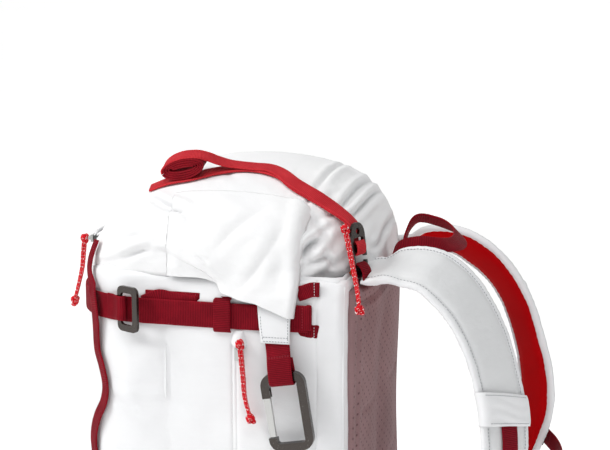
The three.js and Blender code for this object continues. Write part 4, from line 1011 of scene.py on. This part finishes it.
def make_dome():
    """The hood and the airbag's cover: one cloth dome with folds, and a doorway under the flap."""
    k = 152
    u, v = np.meshgrid(np.linspace(-1, 1, k + 1), np.linspace(-1, 1, k + 1))
    p = dome_point(u, v)
    inner = dome_point(u, v, 1.0)
    n = unit(p - inner)
    q = relieved(p, n, dome_relief)
    low = p[..., 2] < DOME["foot"] + 0.5
    q[..., 2] = np.where(low, DOME["foot"], np.maximum(q[..., 2], DOME["foot"]))
    uv = np.stack([p[..., 0] * 0.001, (p[..., 1] + 0.35 * p[..., 2]) * 0.001], -1)
    piece = mesh_object("hood_shell", q, grid_faces(k + 1, k + 1), uv)
    mesh = bmesh.new()
    mesh.from_mesh(piece.data)
    side, front, rear = DOORWAY["side"], DOORWAY["front"], DOORWAY["rear"]
    for co, no in (((side, 0, 0), (1, 0, 0)), ((0, front, 0), (0, 1, 0)), ((0, rear, 0), (0, 1, 0))):
        cut = [*mesh.verts, *mesh.edges, *mesh.faces]
        bmesh.ops.bisect_plane(mesh, geom=cut, plane_co=Vector(co) * 0.001, plane_no=no)
    inside = []
    for f in mesh.faces:
        middle = f.calc_center_median()
        if middle.x > side * 0.001 and front < middle.y * 1000 < rear:
            inside.append(f)
    bmesh.ops.delete(mesh, geom=inside, context="FACES")
    mesh.to_mesh(piece.data)
    mesh.free()
    thicken(piece, 2.2)
    finish(piece, "bag", "white_fabric", [HOOD_WHITE_PAINTED_LIGHTER], "hood", "airbag_cover")

    # The collar stands inside the hood's foot and closes the gap to the bag.
    ring = [front_point(a, 440.0, -2.6) for a in np.linspace(0, math.pi, 60)]
    ring = [(float(x), float(y)) for x, y in ring]
    ring += [(-126.0, y) for y in np.linspace(-36, 126, 30)]
    ring += [(x, 131.0) for x in np.linspace(-122, 122, 40)]
    ring += [(126.0, y) for y in np.linspace(126, -36, 30)]
    ring = np.array(ring + ring[:1])
    levels = ((430, 1.0), (438, 1.0), (444, 1.004), (447.5, 0.99))
    rows = np.array([np.column_stack([ring * scale, np.full(len(ring), z)]) for z, scale in levels])
    uv = np.stack(np.broadcast_arrays(np.arange(len(ring))[None] * 0.004, rows[..., 2] * 0.001), -1)
    add_cloth("collar", rows, uv, WHITE, 1.2)


def flap_hem(y):
    ys = [-46, -38, -23, -6, 2, 12, 17.8, 34, 51.8, 70, 85.5, 96]
    return np.interp(y, ys, [444, 444, 444, 444, 443, 440, 431, 426, 422.9, 416, 410.3, 408])


def make_flap():
    """The flap: a soft skirt over the doorway, its rear edge rolled, its lower corner lying over the belt."""
    cols, rows = 92, 76
    U, V = np.meshgrid(np.linspace(0, 1, cols), np.linspace(0, 1, rows))
    upper = smooth(V.ravel(), 0, 0.2)
    z_edge = lerp(520, 412, V)
    rear = np.interp(z_edge, [410, 445, 470, 498, 520], [86.0, 90.0, 89.0, 92.0, 95.0])
    y = lerp(FLAP["front"], rear, U)
    bend = 0.52
    share = np.clip(V / bend, 0, 1)
    # The cloth follows the hood's outline, up to where that turns inward at the rear.
    seat = np.minimum(y, 92)
    ahead = seat < DOME["middle"]
    plan = np.where(ahead, FRONT_PLAN, REAR_PLAN)
    deep = np.abs((seat - DOME["middle"]) / np.where(ahead, DOME["front"], DOME["rear"])) ** plan
    inverse = np.where(ahead, 1 / FRONT_PLAN, 1 / REAR_PLAN)
    foot = DOME["half_width"] * (1 - deep) ** inverse - 0.6
    down = np.clip((V - bend) / (1 - bend), 0, 1)
    x_dome = lerp(FLAP["fold_x"] - 1.4, foot, np.sin(share * math.pi / 2))
    z_dome, z_low = dome_z(x_dome, seat), dome_z(foot, seat)
    x_dome = lerp(x_dome, DOME["half_width"] - 0.6, smooth(down, 0, 0.5))
    z = np.where(V < bend, z_dome, lerp(z_low, flap_hem(y), down))
    base = np.stack([x_dome, y, z], -1)
    out = unit(np.stack([share, np.zeros_like(y), 1 - share], -1))
    p = base.reshape(-1, 3)
    n = out.reshape(-1, 3)
    rise = 3.0 * upper
    rise -= 2.4 * (1 - smooth(p[:, 1], FLAP["front"], FLAP["front"] + 14)) * upper
    lower = (1 - smooth(p[:, 2], 414, 450)) * smooth(p[:, 1], 4, 24)
    rise += 7.5 * lower
    rise += 3.2 * np.exp(-(((p[:, 1] - 84) / 8) ** 2)) * smooth(p[:, 2], 424, 450)
    relief = (fold_relief(p, FOLDS[:5]) + hem_step(p) + 0.8 * waves(p, 58, 3) * (1 - 0.6 * lower)
              + 0.2 * waves(p * (1, 1, 1.5), 20, 5))
    # A broad soft drape runs from the top rear corner down to the front of the tab.
    relief += fold_relief(p, [([(118, 80, 500), (131, 62, 470), (136, 40, 440), (137, 26, 430)], 1.6, 9),
                              ([(110, 60, 512), (126, 30, 490), (133, 8, 468)], 1.5, 9),
                              ([(137, 84, 436), (138, 70, 428), (139, 56, 424)], 1.0, 4)])
    # Along its fold and its front edge the flap is one surface with the hood.
    front_edge = 1 - smooth(p[:, 1], FLAP["front"] + 1, FLAP["front"] + 9)
    joined_up = np.maximum(1 - smooth(V.ravel(), 0.02, 0.16), front_edge) * (p[:, 1] < 80)
    relief = relief * (1 - joined_up) + (dome_relief(p) + 0.15) * joined_up
    edge = smooth(U.ravel(), 0.965, 1.0)
    q = p + n * (rise + relief - 6.0 * edge**2)[:, None]
    q = q.reshape(rows, cols, 3)
    lengths = run_lengths(q[:, cols // 2])
    uv = np.stack([y * 0.001, np.broadcast_to(lengths[:, None], y.shape) * 0.001], -1)
    piece = add_cloth("flap_cloth", q, uv, HOOD_WHITE_PAINTED_LIGHTER, 2.0, "flap", body="flap")

    normals = unit(np.cross(np.gradient(q, axis=1), np.gradient(q, axis=0)))
    normals *= np.sign((normals * out).sum(-1, keepdims=True))
    hem = np.argmax(U[0] > 0.44)
    for place in ((-4, slice(hem, -3)), (slice(6, -3), -6), (slice(2, -6), 3)):
        sew(q[place], normals[place], "flap")

    # The tab under the hem carries the webbing.
    rows_t, cols_t = 22, 16
    U, V = np.meshgrid(np.linspace(0, 1, cols_t), np.linspace(0, 1, rows_t))
    y = lerp(lerp(51.5, 57.5, V), lerp(84.5, 85, V), U)
    z = lerp(427, 386.5, V)
    x = np.interp(V, [0, 0.3, 0.6, 1], [136.5, 139.8, 142.8, 144.5])
    swell = 0.7 * np.sin(np.pi * U) * np.sin(np.pi * V)
    q = np.stack([x + swell, y, z], -1)
    uv = np.stack([y, z], -1) * 0.001
    add_cloth("flap_tab_cloth", q, uv, WHITE, 1.5, "flap_tab", body="flap", offset=0)
    out = np.array([1.0, 0, 0])
    for place in ((-2, slice(1, -1)), (-4, slice(1, -1)), (slice(8, -1), 1), (slice(8, -1), -2)):
        sew(q[place] + out * 0.8, out, "flap", pitch=2.8)

    # The carabiner's hanging bar, which the webbing goes round.
    bx, by, bz = 146.5, 78, 356
    outer = DOME["half_width"] + FLAP["clear"] + 1.6
    line = [(outer + 3.0, 71, 394), (outer + 4.6, 73.4, 382), (bx + 5.8, 76.8, bz + 8), (bx + 6.8, by, bz),
            (bx + 5.6, by + 0.8, bz - 5.8), (bx, by + 1.2, bz - 8.1), (bx - 5.6, by + 0.8, bz - 5.8),
            (bx - 6.8, by, bz), (bx - 5.8, 76.8, bz + 8), (bx - 4.6, 75.6, bz + 16)]
    ribbon("flap_strap_webbing", line, (0, 1, 0.16), 23.4, 1.8, "flap_webbing", body="flap", cell=1.2,
           stitch=(0.25, 0.27))


def make_packed_airbag():
    """The folded airbag under the cover: soft layers pressed together."""
    k = 56
    u, v = np.meshgrid(np.linspace(-1, 1, k + 1), np.linspace(-1, 1, k + 1))
    x = 96 * np.sign(u) * np.abs(u) ** 0.9
    y = lerp(68, 134, (v + 1) / 2)
    top = np.minimum(dome_z(x, y) - 11, 540)
    round_ = np.clip(1 - np.maximum(np.abs(u), np.abs(v)) ** 9, 0, 1)
    layers = 1.6 * np.sin(v * 16 + 0.8 * np.sin(3 * u)) + 1.0 * np.sin(u * 11 + 2 * v)
    z = lerp(446.0, top + layers, round_)
    p = np.stack([x, y, z], -1)
    add_cloth("packed_airbag_cloth", p, np.stack([x, y], -1) * 0.001, AIRBAG, 1.5, "packed_airbag",
              slot="airbag_fabric")


# ---------- Zips ----------

def add_coil(name, coil):
    """A zip's interlocking coils as one beaded strip."""
    add_tube(name, tube(coil[::2], 0.55, sides=5, cell=1.2), "bag", "grey_plastic", GREY)


def make_side_zip():
    count = 70
    z = np.linspace(ZIP_TOP, ZIP_FOOT, count)
    tape, _ = side_skin(np.full(count, ZIP_Y), z, 0.35)
    trim("side_zip_tape", tape[::4], (0, 1, 0), 13, 0.6, ZIP_TAPE)
    turns = int((ZIP_TOP - ZIP_FOOT) / 1.6)
    t = np.linspace(0, 1, turns * 4)
    spine, _ = side_skin(np.full(len(t), ZIP_Y), lerp(ZIP_TOP, ZIP_FOOT, t), 1.0)
    turn = t * turns * 2 * math.pi
    add_coil("side_zip_coil", spine + np.stack([0.5 * np.cos(turn), 1.8 * np.sin(turn), 0 * t], -1))
    for k, name in ((-1, "front"), (1, "rear")):
        lip, n = side_skin(np.full(count, ZIP_Y + k * 5.4), z, 1.0)
        trim(f"side_zip_lip_{name}", lip[::4], (0, 1, 0), 6.4, 1.1, WHITE)
        sew(lip + (0.6, k * 1.6, 0), n)

    # A small fabric garage covers the slider at the top of the side zip.
    rows, cols = 16, 19
    U, V = np.meshgrid(np.linspace(-1, 1, cols), np.linspace(0, 1, rows))
    y = 34.0 + U * lerp(4.5, 7.6, V)
    z = lerp(396, 380, V) + 2.5 * U**2 * V - 1.5 * V * U
    high = (1 - np.abs(U) ** 2.6) * np.sin(np.clip(V * 1.1, 0, 1) * math.pi / 2) ** 0.7
    q = on_side(y, z, 0.9) + np.stack([7.2 * high, 0 * high, 0 * high], -1)
    add_cloth("side_zip_garage", q, np.stack([y, z], -1) * 0.001, WHITE, 1.1)
    sew(q[-2, 1:-1] + (0.3, 0, 0), (1, 0, 0), pitch=2.6)


def make_front_zip():
    x = np.linspace(-62, 62, 60)
    level = 462.0
    fy = np.array([front_face_y(float(a), level) for a in x])
    line = np.column_stack([x, fy - 0.6, np.full(60, level)])
    trim("front_zip_tape", line[::4], (0, 0.6, 1), 13, 0.7, ZIP_TAPE)
    turns = 78
    t = np.linspace(0, 1, turns * 4)
    turn = t * turns * 2 * math.pi
    beads = np.stack([0 * t, -1.0 - 0.4 * np.cos(turn), 1.7 * np.sin(turn)], -1)
    add_coil("front_zip_coil", Curve(line[::4]).at(t) + beads)
    for k, name in ((-1, "lower"), (1, "upper")):
        lip = line + (0, -1.0 - 0.6 * k, 5.6 * k)
        trim(f"front_zip_lip_{name}", lip[::4], (0, 0.6, 1), 6.2, 1.1, HOOD_WHITE_PAINTED_LIGHTER)
        sew(lip + (0, -0.7, k * 1.5), (0, -1, 0.4))


# ---------- Back: foam, yoke and haul loop ----------

def make_back():
    """The moulded back foam: a rounded slab with a raised rim, a hollow centre channel and side pods."""
    cols, rows = 110, 150
    U, V = np.meshgrid(np.linspace(-1, 1, cols), np.linspace(-1, 1, rows))
    sign = lambda a, k: np.sign(a) * np.abs(a) ** k
    z = lerp(66, 434, (sign(V, 0.94) + 1) / 2)
    x = sign(U, 0.94) * 127 * (1 - 0.05 * V**4)
    hollow = np.exp(-(((z - 280) / 80) ** 2))
    x = x * (1 - 7 / 127 * hollow)
    d = np.minimum((1 - np.abs(U)) * 127, (1 - np.abs(V)) * 184)
    sides = (np.maximum(0, np.abs(x) - 60) / 67) ** 1.2
    full = (15 - 5 * hollow) * (1 - 0.66 * sides)
    body = full * np.clip(1 - np.clip((3 - d) / 3, 0, 1) ** 2.4, 0, 1) ** 0.5
    rim = -1.6 * np.exp(-(((d - 14) / 3.5) ** 2)) + 1.0 * np.exp(-(((d - 21) / 5) ** 2))
    channel = -6.0 * np.exp(-((x / 26) ** 2)) * smooth(V, -0.9, -0.5) * (1 - smooth(V, 0.6, 0.96))
    ribs = sum(np.exp(-(((z - c) / 5) ** 2)) for c in (150, 230, 310))
    ribs = -1.8 * ribs * smooth(np.abs(x), 30, 42) * smooth(d, 26, 38)
    height = np.maximum(0.0, body + (rim + channel + ribs) * smooth(d, 1.5, 8))
    p = np.stack([x, 135.4 + height, z], -1)
    piece = add_cloth("back_foam_pad", p, np.stack([x, z], -1) * 0.001, MAUVE_PAINTED_SHADE, 1.0, "back_foam",
                      slot="mauve_foam")

    # The harness yoke is a narrow bound strip along the top of the foam, between the straps' roots.
    face = 151.2
    cols, rows = 60, 9
    U, V = np.meshgrid(np.linspace(-1, 1, cols), np.linspace(-1, 1, rows))
    x, z = 78.5 * U, 437.6 + 4.9 * V
    crown = 3.2 * (1 - np.maximum(np.abs(U) ** 30, np.abs(V) ** 4)) ** 0.5 + 0.25 * np.sin(x / 5)
    q = np.stack([x, face + crown, z], -1)
    add_cloth("yoke_cloth", q, np.stack([x, z], -1) * 0.001, BINDING, 1.4, "harness_yoke")
    sew(q[4, 2:-2] + (0, 0.15, 0), (0, 1, 0))

    loop = [(42, 158.5, 436), (42, 162, 450), (42, 170, 463), (41, 188, 468), (33, 210, 466), (14, 221, 464),
            (-12, 222, 465), (-34, 213, 470), (-42, 194, 476), (-42, 175, 478), (-42, 164, 464),
            (-42, 158.5, 436)]
    right = [(1, 0, 0), (0.9, 0, -0.2), (0.8, 0, -0.6), (0.75, 0, -0.65), (0.6, 0.4, -0.65),
             (0.2, 0.75, -0.65)]
    left = [(-x, y, z) for x, y, z in reversed(right)]
    ribbon("haul_loop_webbing", loop, right + left, 18, 2.0, "haul_loop", stitch=(0.03, 0.05, 0.95, 0.97))


# ---------- Shoulder straps and hip belt ----------

STRAP_MIDDLE = [(82, 161, 448), (82, 181, 452), (82, 205, 450), (82, 222, 440), (82, 240, 421),
                (83, 258, 390), (85, 271, 352), (89, 279, 315), (95, 282, 276), (101, 278, 237),
                (106, 268, 200)]
# Directions from the middle of the right strap toward its edge at the neck.
STRAP_NECK = [(-45, 21, 15), (-45, 10, 29), (-45, 9, 35), (-45, 17, 36), (-45, 21, 33), (-45, 29, 20),
              (-45, 33, 9), (-45, 36, 4), (-45, 36, 0), (-45, 32, 0), (-45, 24, 0)]
LEFT_STRAP_OUT = 14


def strap_width(u):
    return 50 + 10 * smooth(u, 0, 0.35) - 18 * smooth(u, 0.75, 1)


def strap_line(mirror):
    """The middle of a strap; the left one stands further out from the back than the right one."""
    line = []
    for i, (x, y, z) in enumerate(STRAP_MIDDLE):
        reach = LEFT_STRAP_OUT * float(smooth(i, 1, 5)) * (1 - 0.6 * float(smooth(i, 7, 10)))
        line.append((mirror * x, y + (reach if mirror < 0 else 0.0), z))
    return line


def along_strap(mirror, start, end):
    shares = np.linspace(start, end, 9)
    return Curve(strap_line(mirror)).at(shares), Curve(mirrored(STRAP_NECK, mirror)).at(shares)


def strap_place(mirror, u, out, shift=0.0):
    """Origin and axes (across, outward, up) of a place on a strap, as the CAD source has it."""
    path = Curve(strap_line(mirror))
    at = path.at([u])[0]
    along = unit(path.at([min(u + 1e-3, 1)])[0] - path.at([u - 1e-3])[0])
    side = Curve(mirrored(STRAP_NECK, mirror)).at([u])[0]
    side = unit(side - (side @ along) * along) * -mirror
    up = -along
    outward = np.cross(up, side)
    return at + outward * out + side * shift, side, outward, up


# A pad's section, outer face then inner face: places across it and how far out each one stands, as shares.
PAD_OUTER = [-0.5, -0.495, -0.47, -0.43, -0.395, -0.375, -0.35, -0.28, -0.18, -0.06]
PAD_OUTER_RISE = [0, 0.32, 0.62, 0.7, 0.66, 0.5, 0.78, 0.95, 1, 1]
PAD_INNER = [0.495, 0.46, 0.41, 0.39, 0.37, 0.2, 0.0]
PAD_INNER_RISE = [0.32, 0.66, 0.66, 0.5, 0.72, 0.95, 1]


def pad(name, points, across, width, thickness, outward_sign, body, node, back):
    """A padded band: a quilted outer face, an inner face and a bound edge all round."""
    ripple = 0.5
    at, tangent, side, length, u = stations(points, across, 3.0)
    outward = np.cross(side, tangent) * outward_sign
    wide = width(u)
    outer = np.array(PAD_OUTER + [-s for s in reversed(PAD_OUTER)])
    high = np.array(PAD_OUTER_RISE + PAD_OUTER_RISE[::-1])
    inner = np.array(PAD_INNER + [-s for s in PAD_INNER[-2::-1]])
    deep = -np.array(PAD_INNER_RISE + PAD_INNER_RISE[-2::-1])
    inner = np.array([0.495, 0.46, 0.41, 0.39, 0.37, 0.2, 0.0, -0.2, -0.37, -0.39, -0.41, -0.46, -0.495])
    deep = -np.array([0.32, 0.66, 0.66, 0.5, 0.72, 0.95, 1, 0.95, 0.72, 0.5, 0.66, 0.66, 0.32])
    s = np.concatenate([outer, inner])
    h = np.concatenate([high, deep])
    ends = 1 - 0.55 * np.exp(-length / 5) - 0.55 * np.exp(-(length[-1] - length) / 5)
    p = (at[:, None] + side[:, None] * (s[None, :, None] * wide[:, None, None])
         + outward[:, None] * (h[None, :, None] * thickness / 2 * ends[:, None, None]))
    flat = p.reshape(-1, 3)
    centre = np.repeat(np.abs(s)[None] < 0.37, len(at), 0).ravel()
    puff = waves(flat, 30, 21) * 0.5 * ripple + waves(flat, 13, 22) * 0.22 * ripple
    wrinkle = np.sin(length * 0.95 + 0.6 * np.sin(length * 0.21))
    pleats = 0.55 * ripple * np.repeat(wrinkle[:, None], len(s), 1).ravel() * ~centre
    n = np.repeat(outward[:, None], len(s), 1).reshape(-1, 3)
    signs = np.repeat(np.where(h >= 0, 1.0, -1.0)[None], len(at), 0).ravel()
    q = (flat + n * ((puff + pleats) * signs)[:, None]).reshape(p.shape)
    around = np.hypot(np.diff(s) * wide.mean(), np.diff(h) * thickness / 2)
    around = np.concatenate([[0], np.cumsum(around)])
    uv = np.stack(np.broadcast_arrays(length[:, None] * 0.001, around[None] * 0.001), -1)
    rows, cols = q.shape[:2]
    faces = grid_faces(rows, cols, closed=True)
    column = np.tile(np.arange(cols), rows - 1)
    # The faces between the stitched lines have their own cloth; the binding covers the rest.
    index = np.where((column >= 5) & (column <= 13), 1, 0)
    index = np.where((column >= 23) & (column <= 28), 2, index)
    faces = [tuple(f) for f in faces]
    faces += [tuple(range(cols))[::-1], tuple(range((rows - 1) * cols, rows * cols))]
    piece = mesh_object(name, q, faces, uv, material_index=np.concatenate([index, [0, 0]]))
    finish(piece, body, "white_fabric", [BINDING, SATIN, back], node)
    for column in (4, 15):
        sew(q[2:-2, column] + outward[2:-2] * 0.1, outward[2:-2], body, pitch=3.2)


def make_strap(mirror, name):
    points = [(mirror * 82, 143.5, 446.5)] + strap_line(mirror)
    across = mirrored(STRAP_NECK[:1] + STRAP_NECK, mirror)
    width = lambda u: strap_width(np.maximum(0, u * 1.1 - 0.1))
    pad(f"shoulder_pad_{name}", points, across, width, 11, -mirror, "bag", f"shoulder_strap_{name}",
        LINING)
    middle, side = along_strap(mirror, 0.72 if mirror < 0 else 0.69, 0.985)
    ribbon(f"strap_webbing_{name}_cloth", middle, side, 20, 1.7, f"strap_webbing_{name}",
           rise=-mirror * 7.5, stitch=(0.03,))
    reach = 0.4 * LEFT_STRAP_OUT if mirror < 0 else 0
    lower = [(107, 257 + reach, 166), (112, 247 + reach, 160), (121, 222 + reach / 2, 152), (130, 185, 147),
             (134.6, 155, 146), (136, 138, 146), (136, 116, 146)]
    ribbon(f"lower_webbing_{name}_cloth", mirrored(lower, mirror), (0, 0, 1), 20, 1.7,
           f"lower_webbing_{name}", stitch=(0.93, 0.97))

    slider_share, slider_out = 0.88, 11.1
    at, across, outward, _ = strap_place(mirror, slider_share, slider_out)
    on_slider = lambda x: at + across * (-mirror * x) + outward * 3.4
    _, y, z = on_slider(32)
    cross = [on_slider(x) for x in (-9, 4, 18, 32)]
    cross += [(mirror * 62, y + 6, z - 1), (mirror * 44, y + 9, z - 2), (mirror * 27, y + 9.5, z - 2)]
    ribbon(f"sternum_webbing_{name}_cloth", cross, (0, 0, 1), 20, 1.7, f"sternum_webbing_{name}",
           body=f"sternum_{name}", stitch=(0.3,))


def make_straps():
    make_strap(1, "right")
    make_strap(-1, "left")
    # The elastic keeper is gathered and turns round the strap's edges, lower at the neck edge.
    rows, cols = 26, 33
    q = np.zeros((rows, cols, 3))
    for i, t in enumerate(np.linspace(0, 1, rows)):
        for j, k in enumerate(np.linspace(-1, 1, cols)):
            share = lerp(0.645, 0.725, t) - lerp(0.023, 0.01, t) * k
            swell = (9.6 * (1 - abs(k) ** 7) ** 0.5 - 1.2 * (2 * t - 1) ** 4
                     + 0.5 * math.sin(t * 19 + 2.2 * math.sin(3 * k)) * (1 - k * k))
            q[i, j] = strap_place(1, share, swell, 31.4 * k * (1 - 0.03 * (1 - abs(k)) ** 0.5))[0]
    uv = np.stack(np.meshgrid(np.arange(cols) * 0.002, np.arange(rows) * 0.0012), -1)
    add_cloth("strap_keeper_cloth", q, uv, BINDING, 1.2, "strap_keeper", offset=0)
    _, _, outward, _ = strap_place(1, 0.685, 0)
    for i in (2, rows - 3):
        sew(q[i, 3:-3] + outward * 0.7, outward, pitch=2.8)

    # The trigger's sleeve: a soft pouch on the left strap, open at its lower end.
    at, across, outward, up = strap_place(-1, 0.53, 6.7, -7)
    half = [(-13, 0.4), (-13.4, 2.4), (-12.6, 5.4), (-9.5, 7.6), (-4, 8.3)]
    profile = half + [(0, 8.5)] + [(-x, y) for x, y in reversed(half)]
    levels = np.linspace(-32, 32, 22)
    rows = []
    for level in levels:
        close = float(smooth(level, 24, 33))
        row = []
        for x, y in profile:
            bulge = y * (1 - 0.65 * close) + 0.3 * math.sin(level / 4 + x / 5)
            row.append(at + across * (x * (1 - 0.12 * close)) + outward * bulge + up * level)
        rows.append(row)
    uv = np.stack(np.meshgrid(np.arange(len(profile)) * 0.003, levels * 0.001), -1)
    add_cloth("trigger_pouch", np.array(rows), uv, WHITE, 1.2, "trigger_sleeve")
    for z in (-29, 27):
        line = np.array([at + across * x + outward * 8.0 + up * z for x in np.linspace(-8, 8, 8)])
        sew(line, outward, pitch=2.8)


def make_hips():
    level = 98
    points = [(108, 158, level), (118, 172, level), (124, 205, level), (120, 244, level), (104, 278, level),
              (82, 298, level)]
    line = [(78, 307.5, level), (64, 313, level), (48, 317, level), (33, 318, level)]
    height = lambda u: 74 - 28 * smooth(u, 0.1, 1)
    for mirror, name in ((1, "right"), (-1, "left")):
        pad(f"hip_pad_{name}", mirrored(points, mirror), [(0, 0, 1)] * 6, height, 12, -mirror,
            f"hip_{name}", f"hip_wing_{name}", MESH)
        ribbon(f"hip_webbing_{name}_cloth", mirrored(line, mirror), (0, 0, 1), 38, 1.9, f"hip_webbing_{name}",
               body=f"hip_{name}", stitch=(0.06, 0.12))
    leg = [(-72, 139, 42), (-70, 148, 38), (-60, 157, 33), (-36, 166, 28)]
    leg += [(0, 170, 25)] + mirrored(leg[::-1], -1)
    ribbon("leg_strap_webbing", leg, (0, 0, 1), 20, 1.9, "leg_strap", stitch=(0.02, 0.98))


# ---------- Hard parts ----------

# Material, edge radius in metres, and the CAD nodes that are shown as they are with that finish.
HARD = [
    (GUNMETAL, 0.0011, "carabiner_body"), (GUNMETAL, 0.0007, "belt_hook"), (GUNMETAL, 0.0005, "top_hook"),
    (SILVER, 0.0007, "carabiner_gate"), (SILVER, 0.0004, "front_zip_slider side_zip_slider"),
    (BLACK, 0.0008, "ladder_lock_right ladder_lock_left"),
    (BLACK, 0.0004, "sternum_slider_right sternum_slider_left"),
    (BLACK, 0.0014, "sternum_buckle_right sternum_buckle_left"),
    (BLACK, 0.002, "hip_buckle_right hip_buckle_left"),
    (BLACK, 0.0005, "fan_housing"), (BLACK, 0.004, "power_module"), (GREY, 0.0006, "frame_sheet"),
    (GREY, 0.0003, "impeller"), (ORANGE, 0.0008, "trigger_handle"),
]


def finish_hard_part(node, material, width):
    piece = bpy.data.objects[node]
    for slot in piece.material_slots:
        slot.material = material
    if not piece.material_slots:
        piece.data.materials.append(material)
    bevel = piece.modifiers.new("edge", "BEVEL")
    bevel.width, bevel.segments = width, 3
    bevel.limit_method, bevel.angle_limit = "ANGLE", math.radians(32)
    piece.data.polygons.foreach_set("use_smooth", np.ones(len(piece.data.polygons), dtype=bool))
    piece.modifiers.new("shading", "WEIGHTED_NORMAL").keep_sharp = True


# ---------- Floor ----------

def make_floor():
    n = Nodes("studio floor")
    tone = n.noise(3, 2)
    n.shader.inputs["Emission Color"].default_value = (1, 1, 1, 1)
    n.shader.inputs["Emission Strength"].default_value = 0.5
    material = n.finish(n.mix(tone, (0.93, 0.93, 0.93), (0.95, 0.95, 0.95)), 0.9)
    # The floor turns up behind the object in a quarter circle, then stands upright.
    start, radius = -3.2, 1.6
    turn = [(start - radius * math.sin(a), radius - radius * math.cos(a))
            for a in np.linspace(0.1, math.pi / 2, 12)]
    profile = [(3, 0), (start, 0)] + turn + [(start - radius, 5)]
    points = [(x * 1000, y * 1000, z * 1000 - 0.2) for x, z in profile for y in (-6, 6)]
    floor = mesh_object("floor", points, grid_faces(len(profile), 2))
    floor.data.materials.append(material)


for make in (make_shell, make_base, make_dome, make_flap, make_packed_airbag, make_belt, make_top_strap,
             make_front_strap, make_side_zip, make_front_zip, make_back, make_straps, make_hips):
    make()
for material, width, nodes in HARD:
    for node in nodes.split():
        finish_hard_part(node, material, width)
make_stitches()
make_floor()
